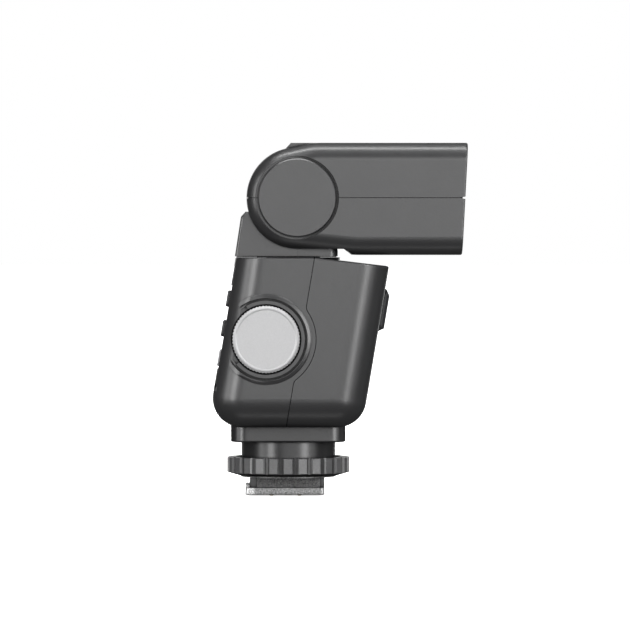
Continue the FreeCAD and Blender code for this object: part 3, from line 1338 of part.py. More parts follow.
def lens_bezel():
    """The frame round the lens, with a ledge behind for the pane."""
    half = OPENING_HALF_WIDTH
    low, high = OPENING_Z
    ledge_low, ledge_high = BEZEL_LEDGE_Z
    outer = rounded_along(box(*BEZEL), BEZEL_CORNER_R, "x")
    inner = rounded_along(box((-FAR, PAST), (-half, half), OPENING_Z), LENS_CORNER_R + 2 * PLAY, "x")
    ledge_half = half + BEZEL_LEDGE
    ledge = box((-FAR, BEZEL_LEDGE_X), (-ledge_half, ledge_half), (low - ledge_low, high + ledge_high))
    return from_hinge(on_lens(outer.cut([inner, ledge])))


def fresnel_lens():
    """The front lens, smooth outside and with a stack of sloped ridges inside."""
    low, high = OPENING_Z
    middle = (low + high) / 2
    reach = (high - low) / 2 - LENS_RIDGE_MARGIN
    half = OPENING_HALF_WIDTH - PLAY
    pane = rounded_along(box(LENS_X, (-half, half), (low + PLAY, high - PLAY)), LENS_CORNER_R, "x")
    root = LENS_X[0]
    pitch = reach / LENS_STEPS
    outline = [(root + 2 * PLAY, -reach)]
    for i in range(-LENS_STEPS, LENS_STEPS):
        start, end = i * pitch, (i + 1) * pitch
        outline += [(root, start), (LENS_RIDGE_X, end)] if i < 0 else [(LENS_RIDGE_X, start), (root, end)]
    outline.append((root + 2 * PLAY, reach))
    ridge_half = OPENING_HALF_WIDTH - LENS_RIDGE_INSET
    ridges = prism([(x, z + middle) for x, z in outline], (-ridge_half, ridge_half))
    return from_hinge(on_lens(pane.fuse(ridges).removeSplitter()))


def sliding_sheet(front, z):
    """A sheet that pulls out of the slot over the lens."""
    half = PANEL_HALF_WIDTH
    return rounded_along(box((front - PANEL_LENGTH, front), (-half, half), z), PANEL_CORNER_R, "z")


def wide_panel():
    """The pull-out diffuser, with low ribs across it."""
    half = PANEL_RIB_HALF
    ribs = [box((x, x + PANEL_RIB_WIDTH), (-half, half), (PANEL_Z[1] - PLAY, PANEL_RIB_TOP)) for x in PANEL_RIBS]
    return from_hinge(sliding_sheet(PANEL_FRONT_X, PANEL_Z).fuse(ribs))


def bounce_card():
    return from_hinge(sliding_sheet(CARD_FRONT_X, CARD_Z))


def along_x(radius, x, y, z):
    """A bar along the head between two X values."""
    return rod(radius, (x[0], y, z), (x[1], y, z))


def guide_rods():
    return group([from_hinge(along_x(ROD_R, ROD_X, y, ROD_Z)) for y in (-ROD_Y, ROD_Y)])


def zoom_motor():
    start, end = MOTOR_X
    body = rounded_at(along_x(MOTOR_R, MOTOR_X, SCREW_Y, SCREW_Z), MOTOR_EDGE_R, "x", end)
    return from_hinge(body.cut(along_x(SCREW_R + PLAY, (start - PAST, MOTOR_BORE_END), SCREW_Y, SCREW_Z)))


def lead_screw():
    return from_hinge(along_x(SCREW_R, SCREW_X, SCREW_Y, SCREW_Z))


def zoom_carriage():
    """The plate that carries the reflector, with a slider on each rod and the screw's nut."""
    start = CARRIAGE_X[0]
    half_width, half_height = CARRIAGE_HALF
    plate = box(CARRIAGE_X, (-half_width, half_width), (ZOOM_AXIS_Z - half_height, ZOOM_AXIS_Z + half_height))
    blocks = [box((start, SLIDER_END), (y - SLIDER_HALF, y + SLIDER_HALF), (ROD_Z - SLIDER_HALF, ROD_Z + SLIDER_HALF))
              for y in (-ROD_Y, ROD_Y)]
    blocks.append(box((start, NUT_END), (SCREW_Y - NUT[0], SCREW_Y + NUT[1]), (SCREW_Z - NUT[0], SCREW_Z + NUT[0])))
    bores = [along_x(ROD_R + PLAY, (0, FAR), y, ROD_Z) for y in (-ROD_Y, ROD_Y)]
    bores.append(along_x(SCREW_R + PLAY, (0, FAR), SCREW_Y, SCREW_Z))
    return from_hinge(fused([plate] + blocks).cut(bores))


def trough_face(grow):
    """The reflector's section: an arc from the upper lip, round the back, to the lower lip."""
    half = TROUGH_HALF_HEIGHT + grow
    top = V(TROUGH_MOUTH_X, 0, ZOOM_AXIS_Z + half)
    back = V(TROUGH_BACK_X - grow, 0, ZOOM_AXIS_Z)
    bottom = V(TROUGH_MOUTH_X, 0, ZOOM_AXIS_Z - half)
    return Part.Face(Part.Wire([Part.Arc(top, back, bottom).toShape(), Part.makeLine(bottom, top)]))


def trough_solid(grow):
    half = TROUGH_HALF_WIDTH + grow
    solid = outward(trough_face(grow).extrude(V(0, 2 * half, 0)))
    solid.translate(V(0, -half, 0))
    return solid


def reflector():
    """A curved trough with closed ends, holes for the tube and a tab on the carriage."""
    outer = trough_solid(TROUGH_WALL)
    reach = TROUGH_HALF_WIDTH + 4 * TROUGH_WALL
    hole = rod(TUBE_R + 4 * PLAY, (TUBE_X, -reach, ZOOM_AXIS_Z), (TUBE_X, reach, ZOOM_AXIS_Z))
    tab_x, tab_y, tab_z = TROUGH_TAB
    tab = box(tab_x, tab_y, [ZOOM_AXIS_Z + z for z in tab_z]).cut(outer)
    return from_hinge(outer.cut([trough_solid(0.0), hole]).fuse(tab).removeSplitter())


def flash_tube():
    return from_hinge(rod(TUBE_R, (TUBE_X, -TUBE_HALF, ZOOM_AXIS_Z), (TUBE_X, TUBE_HALF, ZOOM_AXIS_Z)))


def tube_boots():
    """The rubber cap on each end of the tube."""
    start, end = BOOT_Y
    sleeve = rod(TUBE_R + BOOT_WALL, (TUBE_X, start, ZOOM_AXIS_Z), (TUBE_X, end, ZOOM_AXIS_Z))
    bore = rod(TUBE_R + SNUG, (TUBE_X, start - PAST, ZOOM_AXIS_Z), (TUBE_X, BOOT_BORE_END, ZOOM_AXIS_Z))
    boot = sleeve.cut(bore)
    return group([from_hinge(boot), from_hinge(mirrored(boot))])


def trigger_coil():
    x, z = COIL_AT
    return from_hinge(rod(COIL_R, (x, -COIL_HALF, z), (x, COIL_HALF, z)))


# ---- the parts ----

def build():
    """Every separate piece by its node name."""
    rear_shell, front_shell = casing_halves()
    neck_rear, neck_front = neck_halves()
    head_upper, head_lower = head_shells()
    return {
        "foot_plate": foot_plate(),
        "plate_screws": plate_screws(),
        "contact_block": contact_block(),
        "contact_pins": contact_pins(),
        "foot_column": foot_column(),
        "foot_screws": foot_screws(),
        "clamp_plate": clamp_plate(),
        "lock_pin": lock_pin(),
        "lock_ring": lock_ring(),
        "rear_shell": rear_shell,
        "front_shell": front_shell,
        "casing_screws": casing_screws(),
        "display_glass": display_glass(),
        "display_panel": display_panel(),
        "upper_button": button(0),
        "middle_button": button(1),
        "test_button": button(2),
        "button_board": button_board(),
        "tact_switches": tact_switches(),
        "control_dial": control_dial(),
        "dial_shaft": dial_shaft(),
        "dial_encoder": dial_encoder(),
        "main_board": main_board(),
        "main_capacitor": main_capacitor(),
        "step_up_transformer": step_up_transformer(),
        "battery_pack": battery_pack(),
        "port_cover": port_cover(),
        "usb_socket": usb_socket(),
        "sync_jack": sync_jack(),
        "assist_bezel": assist_bezel(),
        "assist_lens": assist_lens(),
        "swivel_seat": swivel_seat(),
        "swivel_hub": swivel_hub(),
        "swivel_retainer": swivel_retainer(),
        "swivel_spring": swivel_spring(),
        "neck_rear_shell": neck_rear,
        "neck_front_shell": neck_front,
        "neck_screws": neck_screws(),
        "wiring_loom": wiring_loom(),
        "tilt_detent_spring": tilt_detent_spring(),
        "head_upper_shell": head_upper,
        "head_lower_shell": head_lower,
        "axle_screws": axle_screws(),
        "pivot_cap_right": pivot_cap(-1),
        "pivot_cap_left": pivot_cap(1),
        "tilt_axle_right": tilt_axle(-1),
        "tilt_axle_left": tilt_axle(1),
        "tilt_detent_disc": tilt_detent_disc(),
        "lens_bezel": lens_bezel(),
        "fresnel_lens": fresnel_lens(),
        "wide_panel": wide_panel(),
        "bounce_card": bounce_card(),
        "guide_rods": guide_rods(),
        "zoom_motor": zoom_motor(),
        "lead_screw": lead_screw(),
        "zoom_carriage": zoom_carriage(),
        "reflector": reflector(),
        "flash_tube": flash_tube(),
        "tube_boots": tube_boots(),
        "trigger_coil": trigger_coil(),
    }


def main():
    os.makedirs("parts", exist_ok=True)
    for name, shape in build().items():
        if not shape.isValid() or shape.Volume <= 0:
            raise ValueError(name + " is not a sound solid")
        shape.exportStep("parts/" + name + ".step")


main()
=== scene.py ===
"""The looks of a speedlight flash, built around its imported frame: materials, small details, light and camera.

Metres, in the row frame: +X is the way the light points, +Y is the flash's left side and +Z is up.
"""

import math

import bmesh
import bpy
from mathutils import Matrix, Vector


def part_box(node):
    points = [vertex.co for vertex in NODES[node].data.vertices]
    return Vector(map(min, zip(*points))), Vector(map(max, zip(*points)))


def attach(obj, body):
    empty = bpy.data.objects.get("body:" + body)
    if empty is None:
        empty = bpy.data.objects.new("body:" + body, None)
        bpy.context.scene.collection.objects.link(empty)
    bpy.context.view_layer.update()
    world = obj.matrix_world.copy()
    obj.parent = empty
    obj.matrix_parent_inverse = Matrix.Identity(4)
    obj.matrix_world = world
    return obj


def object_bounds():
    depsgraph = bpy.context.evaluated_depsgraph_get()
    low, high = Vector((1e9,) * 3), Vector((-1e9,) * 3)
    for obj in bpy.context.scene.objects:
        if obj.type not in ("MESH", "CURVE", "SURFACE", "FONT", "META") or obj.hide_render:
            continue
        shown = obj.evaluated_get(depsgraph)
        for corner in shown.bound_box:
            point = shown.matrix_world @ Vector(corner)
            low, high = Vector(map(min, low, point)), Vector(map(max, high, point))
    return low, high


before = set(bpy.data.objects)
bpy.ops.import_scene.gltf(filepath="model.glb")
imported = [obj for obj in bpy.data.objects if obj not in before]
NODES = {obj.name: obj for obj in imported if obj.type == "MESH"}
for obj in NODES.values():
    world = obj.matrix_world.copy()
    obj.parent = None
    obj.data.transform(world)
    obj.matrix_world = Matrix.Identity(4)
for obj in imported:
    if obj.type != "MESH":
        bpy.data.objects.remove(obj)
CAD_LOW, CAD_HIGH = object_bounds()
MM = 0.001
WELD = 1e-7                  # points closer than this become one
WHITE = (1.0, 1.0, 1.0)
BLACK = (0.0, 0.0, 0.0)


# ---- node helpers ----

SEAM_SHADE_REACH = 1.0 * MM           # how far the walls of a seam in the plastics cast painted shade on each other
NOISE_LOW = 0.25             # most of a noise lies between these two
NOISE_HIGH = 0.75


def new_material(name):
    """An empty procedural material: its node tree and its main shader."""
    material = bpy.data.materials.new(name)
    material.use_nodes = True
    return material, material.node_tree, material.node_tree.nodes["Principled BSDF"]


def add(tree, kind, inputs=None, **settings):
    """A shader node with its inputs linked to sockets or set to values."""
    node = tree.nodes.new("ShaderNode" + kind)
    for key, value in settings.items():
        setattr(node, key, value)
    for key, value in (inputs or {}).items():
        feed(tree, node, key, value)
    return node


def feed(tree, node, key, value):
    """Links one input of a node to a socket or sets it to a value."""
    if isinstance(value, bpy.types.NodeSocket):
        tree.links.new(value, node.inputs[key])
    else:
        node.inputs[key].default_value = value


def opaque(colour):
    """The four values that a colour input takes."""
    return (*colour, 1.0)


def place(tree):
    """The point on the object in the row frame."""
    return add(tree, "TexCoord").outputs["Object"]


def coordinate(tree, point, letter):
    """The X, Y or Z of a point."""
    return add(tree, "SeparateXYZ", {0: point}).outputs[letter]


def stretched(tree, point, scale):
    """The point with each axis scaled on its own, for grain that runs one way."""
    return add(tree, "VectorMath", {0: point, 1: scale}, operation="MULTIPLY").outputs[0]


def length(tree, vector):
    return add(tree, "VectorMath", {0: vector}, operation="LENGTH").outputs["Value"]


def noise(tree, point, size, detail=2.0, rough=0.5):
    """Smooth noise from 0 to 1 whose features are about the given size across."""
    made = add(tree, "TexNoise", {"Vector": point, "Scale": 1.0 / size, "Detail": detail, "Roughness": rough})
    return made.outputs["Fac"]


def wave(tree, point, per_metre):
    """Diagonal waves, so many to the metre."""
    made = add(tree, "TexWave", {"Vector": point, "Scale": per_metre}, bands_direction="DIAGONAL")
    return made.outputs["Fac"]


def remap(tree, value, low, high, start=0.0, end=1.0):
    """The value's span from start to end spread over low to high."""
    spans = {"From Min": start, "From Max": end, "To Min": low, "To Max": high}
    return add(tree, "MapRange", {"Value": value, **spans}).outputs["Result"]


def maths(tree, operation, first, second=0.0):
    """One sum, product or other operation on two numbers."""
    return add(tree, "Math", {0: first, 1: second}, operation=operation).outputs[0]


def times(tree, first, second):
    return maths(tree, "MULTIPLY", first, second)


def plus(tree, first, second):
    return maths(tree, "ADD", first, second)


def dimmed(tree, colour, share):
    """The colour times a share."""
    return add(tree, "VectorMath", {0: colour, "Scale": share}, operation="SCALE").outputs[0]


def shaded(tree, colour, value, amount):
    """The colour made darker and lighter by a share, as a noise goes from its low to its high values."""
    return dimmed(tree, colour, remap(tree, value, 1 - amount, 1 + amount, NOISE_LOW, NOISE_HIGH))


def mixed(tree, factor, first, second):
    """A blend of two plain colours."""
    node = add(tree, "Mix", data_type="RGBA")
    feed(tree, node, "Factor", factor)
    first_colour, second_colour = [socket for socket in node.inputs if socket.type == "RGBA"]
    first_colour.default_value = opaque(first)
    second_colour.default_value = opaque(second)
    return next(socket for socket in node.outputs if socket.type == "RGBA")


def relief(tree, height, depth, normal=None):
    """A surface raised by height times depth."""
    bump = add(tree, "Bump", {"Height": height, "Distance": depth, "Strength": 1.0})
    if normal is not None:
        tree.links.new(normal, bump.inputs["Normal"])
    return bump.outputs["Normal"]


def eased(tree, radius):
    """Normals that round every sharp edge a little, as a mould does."""
    return add(tree, "Bevel", {"Radius": radius}, samples=4).outputs["Normal"]


def painted_shade_share(tree, reach, least=0.05, shut=0.35, clear=0.85):
    """Painted shade: a share that darkens colour and sheen, from the least where the surface is shut in to 1
    where it is clear.
    """
    seen = add(tree, "AmbientOcclusion", {"Distance": reach}, samples=6).outputs["AO"]
    return remap(tree, seen, least, 1.0, shut, clear)


def dull_edge(tree, least=0.06, start=0.4, end=0.8):
    """A textured surface loses its sheen, down to a least share, as it turns away from the viewer."""
    turned_away = add(tree, "LayerWeight", {"Blend": 0.5}).outputs["Facing"]
    return remap(tree, turned_away, 1.0, least, start, end)


def finish_with(tree, shader, **inputs):
    """Sets the main shader's inputs by their names, with spaces written as underscores."""
    for key, value in inputs.items():
        if key.endswith("_Color") and not isinstance(value, bpy.types.NodeSocket):
            value = opaque(value)
        feed(tree, shader, key.replace("_", " "), value)


# ---- materials ----

def moulded(name, colour, rough, grain=0.16 * MM, depth=0.008 * MM, mottle=0.06, edge=0.10 * MM, shine=0.5):
    """Moulded plastic with a spark-eroded texture: fine pits, faint mottling, smoother patches and painted
    shade in its seams.
    """
    material, tree, shader = new_material(name)
    point = place(tree)
    pits = noise(tree, point, grain, 3.0, 0.6)
    patches = noise(tree, point, 9 * MM)
    speckle = noise(tree, point, 0.45 * MM, 2.0)
    both = plus(tree, times(tree, speckle, 0.7), times(tree, patches, 0.3))
    # Painted shade: clear dims the colour and the sheen in seams and hollows.
    clear = painted_shade_share(tree, SEAM_SHADE_REACH)
    tone = shaded(tree, colour, both, mottle)
    finish_with(
        tree, shader,
        Base_Color=dimmed(tree, tone, clear),
        Roughness=remap(tree, patches, rough - 0.03, rough + 0.03),
        Specular_IOR_Level=times(tree, times(tree, clear, dull_edge(tree)), shine),
        Normal=relief(tree, pits, depth, eased(tree, edge)))
    return material


def brushed(name, colour, rough, along=(0.04, 1, 1)):
    """Brushed or plated metal with fine scratches along the axis whose scale is small."""
    material, tree, shader = new_material(name)
    point = place(tree)
    lines = noise(tree, stretched(tree, point, along), 0.05 * MM, 3.0, 0.65)
    cloud = noise(tree, point, 2.2 * MM, 3.0)
    finish_with(
        tree, shader,
        Base_Color=shaded(tree, colour, lines, 0.10),
        Metallic=1.0,
        Roughness=remap(tree, cloud, rough - 0.08, rough + 0.10),
        Normal=relief(tree, lines, 0.004 * MM, eased(tree, 0.12 * MM)))
    return material


def cast_steel(name, colour):
    """The shoe plate: dark plated metal with a coarse, sparkling grain, a painted highlight at its ends and
    painted shade where other parts stand close.
    """
    material, tree, shader = new_material(name)
    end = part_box("foot_plate")[1].x
    point = place(tree)
    along = maths(tree, "ABSOLUTE", coordinate(tree, point, "X"))
    # Painted highlight: the colour grows brighter over the last millimetre of each end of the plate.
    wear_and_painted_highlight = remap(tree, along, 1.0, 2.6, end - 1.0 * MM, end - 0.2 * MM)
    lines = noise(tree, stretched(tree, point, (0.25, 1, 1)), 0.16 * MM, 3.0, 0.7)
    sparkle = noise(tree, point, 0.42 * MM, 3.0, 0.7)
    finish_with(
        tree, shader,
        # Painted shade darkens the web where other parts stand close, as under the ring.
        Base_Color=dimmed(tree, shaded(tree, colour, sparkle, 0.9),
                          times(tree, wear_and_painted_highlight, painted_shade_share(tree, 4 * MM, 0.12))),
        Metallic=0.85,
        Roughness=remap(tree, sparkle, 0.30, 0.52),
        Normal=relief(tree, lines, 0.030 * MM, eased(tree, 0.25 * MM)))
    return material


def ridged_ring(name, colour):
    """Hard plastic with a satin sheen, with painted light on the ridges and painted shade between them."""
    material, tree, shader = new_material(name)
    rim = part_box("lock_ring")[1].x
    point = place(tree)
    radius = length(tree, stretched(tree, point, (1, 1, 0)))
    # Painted light and shade: colour and sheen grow lighter towards the ridges' tips and darker at their roots
    # and in the gaps.
    painted_ridge_shading = remap(tree, radius, 0.12, 1.0, rim - 0.9 * MM, rim - 0.35 * MM)
    tone = times(tree, painted_ridge_shading, painted_shade_share(tree, 1.2 * MM))
    flecks = noise(tree, point, 0.35 * MM, 3.0, 0.6)
    finish_with(
        tree, shader,
        Base_Color=dimmed(tree, shaded(tree, colour, flecks, 0.25), tone),
        Roughness=remap(tree, flecks, 0.26, 0.40),
        Specular_IOR_Level=times(tree, tone, dull_edge(tree)),
        Normal=relief(tree, flecks, 0.012 * MM, eased(tree, 0.14 * MM)))
    return material


def turned_silver(name, colour):
    """Satin silver paint over fine rings turned round the dial's axis."""
    material, tree, shader = new_material(name)
    low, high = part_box("control_dial")
    middle = (low + high) / 2
    point = place(tree)
    offset = add(tree, "VectorMath", {0: point, 1: tuple(middle)}, operation="SUBTRACT").outputs[0]
    radius = length(tree, stretched(tree, offset, (1, 0, 1)))
    ring_width = 0.11 * MM
    turning = {"W": times(tree, radius, 1 / ring_width), "Scale": 1.0, "Detail": 2.0}
    rings = add(tree, "TexNoise", turning, noise_dimensions="1D").outputs["Fac"]
    flakes = noise(tree, point, 0.30 * MM, 2.0, 0.6)
    finish_with(
        tree, shader,
        Base_Color=shaded(tree, colour, flakes, 0.05),
        Metallic=0.25,
        Roughness=remap(tree, flakes, 0.36, 0.46),
        Normal=relief(tree, plus(tree, rings, flakes), 0.003 * MM, eased(tree, 0.12 * MM)))
    return material


def soft_rubber(name, colour):
    """Dull rubber with a fine dusty bloom."""
    material, tree, shader = new_material(name)
    point = place(tree)
    bloom = noise(tree, point, 0.6 * MM, 4.0, 0.7)
    finish_with(
        tree, shader,
        Base_Color=shaded(tree, colour, bloom, 0.18),
        Roughness=remap(tree, bloom, 0.62, 0.82),
        Specular_IOR_Level=0.35,
        Sheen_Weight=0.08,
        Normal=relief(tree, noise(tree, point, 0.12 * MM, 2.0), 0.010 * MM, eased(tree, 0.15 * MM)))
    return material


def clear_part(name, colour, rough, depth, ridges=None, ior=1.49):
    """Clear plastic or glass, with faint waviness or moulded ridges of a depth."""
    material, tree, shader = new_material(name)
    point = place(tree)
    height = noise(tree, point, 3 * MM) if ridges is None else ridges(tree, point)
    finish_with(
        tree, shader,
        Base_Color=shaded(tree, colour, noise(tree, point, 5 * MM), 0.02),
        Roughness=remap(tree, noise(tree, point, 1.2 * MM, 3.0), rough, rough + 0.03),
        IOR=ior,
        Transmission_Weight=1.0,
        Normal=relief(tree, height, depth))
    return material


def lens_ridges(tree, point):
    """Fine horizontal prisms, as on a moulded flash lens."""
    return maths(tree, "PINGPONG", coordinate(tree, point, "Z"), 0.30 * MM)


def frosting(tree, point):
    """Small moulded beads over the wide panel."""
    bead = 0.7 * MM
    made = add(tree, "TexVoronoi", {"Vector": point, "Scale": 1 / bead}, feature="SMOOTH_F1")
    return made.outputs["Distance"]


def dark_window(name, colour, rough):
    """Deep coloured plastic with a glossy face over fine upright ribs."""
    material, tree, shader = new_material(name)
    point = place(tree)
    rib = 0.5 * MM
    ribs = maths(tree, "PINGPONG", coordinate(tree, point, "Y"), rib)
    finish_with(
        tree, shader,
        Base_Color=shaded(tree, colour, times(tree, ribs, 1 / rib), 0.35),
        Roughness=remap(tree, noise(tree, point, 2 * MM), rough, rough + 0.05),
        Coat_Weight=0.6,
        Coat_Roughness=0.04,
        Normal=relief(tree, ribs, 0.05))
    return material


def lit_panel(name, colour):
    """A display's matt grey-green sheet, which glows faintly, with a fine grid of cells."""
    material, tree, shader = new_material(name)
    point = place(tree)
    cell = 0.15 * MM
    rows = maths(tree, "PINGPONG", coordinate(tree, point, "Z"), cell)
    columns = maths(tree, "PINGPONG", coordinate(tree, point, "Y"), cell)
    grid = times(tree, plus(tree, rows, columns), 1 / (2 * cell))
    finish_with(
        tree, shader,
        Base_Color=shaded(tree, colour, grid, 0.06),
        Roughness=remap(tree, grid, 0.65, 0.75),
        Specular_IOR_Level=0.2,
        Emission_Color=colour,
        Emission_Strength=0.25)
    return material


def circuit_board(name, colour):
    """Green solder mask over a raised net of copper tracks."""
    material, tree, shader = new_material(name)
    point = place(tree)
    pitch = 3 * MM
    net = {"Vector": point, "Scale": 1 / pitch, "Mortar Size": 0.06}
    levels = {"Color1": opaque(BLACK), "Color2": opaque((0.15, 0.15, 0.15)), "Mortar": opaque(WHITE)}
    tracks = add(tree, "TexBrick", {**net, **levels}).outputs["Color"]
    level = add(tree, "RGBToBW", {0: tracks}).outputs[0]
    lighter = [1.9 * share for share in colour]
    finish_with(
        tree, shader,
        Base_Color=mixed(tree, level, colour, lighter),
        Roughness=remap(tree, noise(tree, point, 1 * MM), 0.30, 0.40),
        Coat_Weight=0.4,
        Normal=relief(tree, level, 0.03 * MM))
    return material


def braided(name, colour):
    """A cable's braided sleeve."""
    material, tree, shader = new_material(name)
    point = place(tree)
    strands = 420.0
    weave = plus(tree, wave(tree, point, strands), wave(tree, stretched(tree, point, (-1, 1, 1)), strands))
    finish_with(
        tree, shader,
        Base_Color=shaded(tree, colour, times(tree, weave, 0.5), 0.3),
        Roughness=remap(tree, weave, 0.5, 0.7),
        Normal=relief(tree, weave, 0.08 * MM))
    return material


def bright_mirror(name, colour):
    """Anodised reflector sheet: bright, with faint rolling lines and a soft haze."""
    material, tree, shader = new_material(name)
    point = place(tree)
    rolled = noise(tree, stretched(tree, point, (1, 0.05, 1)), 0.25 * MM, 2.0)
    finish_with(
        tree, shader,
        Base_Color=shaded(tree, colour, rolled, 0.03),
        Metallic=1.0,
        Roughness=remap(tree, rolled, 0.10, 0.20),
        Normal=relief(tree, rolled, 0.004 * MM))
    return material


def plated_contact(name, colour):
    """Polished plating with faint rubbed patches."""
    material, tree, shader = new_material(name)
    point = place(tree)
    wear_and_painted_highlight = noise(tree, point, 0.25 * MM, 3.0)
    finish_with(
        tree, shader,
        Base_Color=shaded(tree, colour, wear_and_painted_highlight, 0.08),
        Metallic=1.0,
        Roughness=remap(tree, wear_and_painted_highlight, 0.14, 0.32),
        Normal=relief(tree, wear_and_painted_highlight, 0.004 * MM))
    return material


def slot_name(material):
    """The material's name without the number that Blender adds to a name that is taken."""
    return material.name.split(".")[0]


GREY = (0.022, 0.022, 0.023)
MATERIALS = [
    moulded("body_plastic", GREY, 0.34, edge=0.05 * MM, shine=0.9),
    moulded("neck_plastic", GREY, 0.34, edge=0.05 * MM, shine=0.9),
    moulded("foot_plastic", (0.011, 0.011, 0.012), 0.30, depth=0.004 * MM, shine=0.9),
    ridged_ring("ring_plastic", (0.085, 0.085, 0.087)),
    moulded("bezel_plastic", (0.03, 0.03, 0.032), 0.30, depth=0.004 * MM),
    moulded("key_plastic", (0.05, 0.05, 0.052), 0.38, depth=0.005 * MM),
    moulded("frame_plastic", (0.09, 0.09, 0.09), 0.50),
    moulded("contact_insulator", (0.025, 0.025, 0.025), 0.45),
    moulded("component", (0.05, 0.05, 0.05), 0.45, mottle=0.12),
    moulded("battery_wrap", (0.10, 0.18, 0.34), 0.30, grain=0.8 * MM, depth=0.02 * MM),
    moulded("capacitor_can", (0.06, 0.06, 0.07), 0.28, grain=0.9 * MM, depth=0.015 * MM),
    moulded("white_card", (0.86, 0.86, 0.85), 0.60, grain=0.3 * MM, mottle=0.02),
    moulded("test_key", (0.62, 0.62, 0.64), 0.32, depth=0.003 * MM, mottle=0.03),
    cast_steel("foot_steel", (0.27, 0.27, 0.27)),
    brushed("fastener_steel", (0.26, 0.26, 0.27), 0.40),
    brushed("spring_steel", (0.58, 0.58, 0.58), 0.26),
    brushed("port_metal", (0.60, 0.60, 0.60), 0.28, along=(1, 0.04, 1)),
    plated_contact("contact_metal", (0.83, 0.64, 0.30)),
    turned_silver("dial_silver", (0.45, 0.45, 0.455)),
    soft_rubber("port_rubber", (0.06, 0.06, 0.062)),
    clear_part("display_glass", (0.70, 0.71, 0.73), 0.02, 0.001 * MM, ior=1.2),
    lit_panel("display_panel", (0.26, 0.30, 0.25)),
    dark_window("assist_window", (0.16, 0.012, 0.012), 0.12),
    clear_part("clear_optic", (0.95, 0.96, 0.97), 0.03, 0.4, lens_ridges),
    clear_part("frosted_optic", (0.92, 0.93, 0.93), 0.30, 0.12 * MM, frosting),
    clear_part("tube_glass", (0.97, 0.96, 0.92), 0.01, 0.004 * MM),
    bright_mirror("reflector_metal", (0.88, 0.88, 0.90)),
    circuit_board("board", (0.02, 0.11, 0.045)),
    braided("cable", (0.045, 0.045, 0.047)),
]
MADE = {slot_name(material): material for material in MATERIALS}


def paint_frame():
    """Gives every node of the frame its finished material."""
    for node in NODES.values():
        for held in node.material_slots:
            held.material = MADE[slot_name(held.material)]


# ---- small pieces ----

LEAN = math.radians(9.5)                                     # the casing leans forward
UP_REAR = Vector((math.sin(LEAN), 0.0, math.cos(LEAN)))      # up the casing's rear face
OFF_REAR = Vector((-math.cos(LEAN), 0.0, math.sin(LEAN)))    # out of it
DIGIT_BARS = {"1": "bc", "2": "abdeg", "4": "bcfg", "8": "abcdefg"}


def piece(name, verts, faces, material, body):
    """A closed mesh that takes a finish from the record and rides on one body."""
    mesh = bpy.data.meshes.new(name)
    mesh.from_pydata([tuple(v) for v in verts], [], faces)
    work = bmesh.new()
    work.from_mesh(mesh)
    bmesh.ops.remove_doubles(work, verts=work.verts, dist=WELD)
    bmesh.ops.recalc_face_normals(work, faces=work.faces)
    work.to_mesh(mesh)
    work.free()
    made = bpy.data.objects.new(name, mesh)
    bpy.context.scene.collection.objects.link(made)
    mesh.materials.append(MADE[material])
    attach(made, body)


def circle(centre, first, second, radius, sides):
    """Points round a circle that lies along two directions."""
    angles = [2 * math.pi * k / sides for k in range(sides)]
    return [centre + radius * (math.cos(angle) * first + math.sin(angle) * second) for angle in angles]


def skinned(sections):
    """Vertices and faces of a closed shape through sections of equal counts of points."""
    count = len(sections[0])
    last = (len(sections) - 1) * count
    faces = []
    for start in range(0, last, count):
        for k in range(count):
            a = start + k
            b = start + (k + 1) % count
            faces.append((a, b, b + count, a + count))
    faces.append(tuple(range(count)))
    faces.append(tuple(last + k for k in range(count)))
    return [point for section in sections for point in section], faces


def swept(points, radius, around, sides=10):
    """A round wire along points, with its sections turned to face the axis that it winds round."""
    sections = []
    last = len(points) - 1
    for i, point in enumerate(points):
        along = (points[min(i + 1, last)] - points[max(i - 1, 0)]).normalized()
        side = along.cross(around(point)).normalized()
        sections.append(circle(point, side, side.cross(along), radius, sides))
    return skinned(sections)


def turned(profile, start, along, sides=32):
    """A (radius, distance) profile turned about an axis."""
    across = along.orthogonal().normalized()
    other = along.cross(across)
    return skinned([circle(start + distance * along, across, other, radius, sides)
                    for radius, distance in profile])


def joined(parts):
    """Several closed shapes in one list of vertices and faces."""
    verts, faces = [], []
    for more_verts, more_faces in parts:
        shift = len(verts)
        verts += more_verts
        faces += [tuple(i + shift for i in face) for face in more_faces]
    return verts, faces


def tile(outline, origin, across, up, off, height):
    """A thin raised tile: an outline in two directions, lifted off a face."""
    base = [origin + across * x + up * z for x, z in outline]
    verts = base + [v + off * height for v in base]
    count = len(outline)
    faces = [tuple(range(count)), tuple(range(count, 2 * count))]
    faces += [(i, (i + 1) % count, (i + 1) % count + count, i + count) for i in range(count)]
    return verts, faces


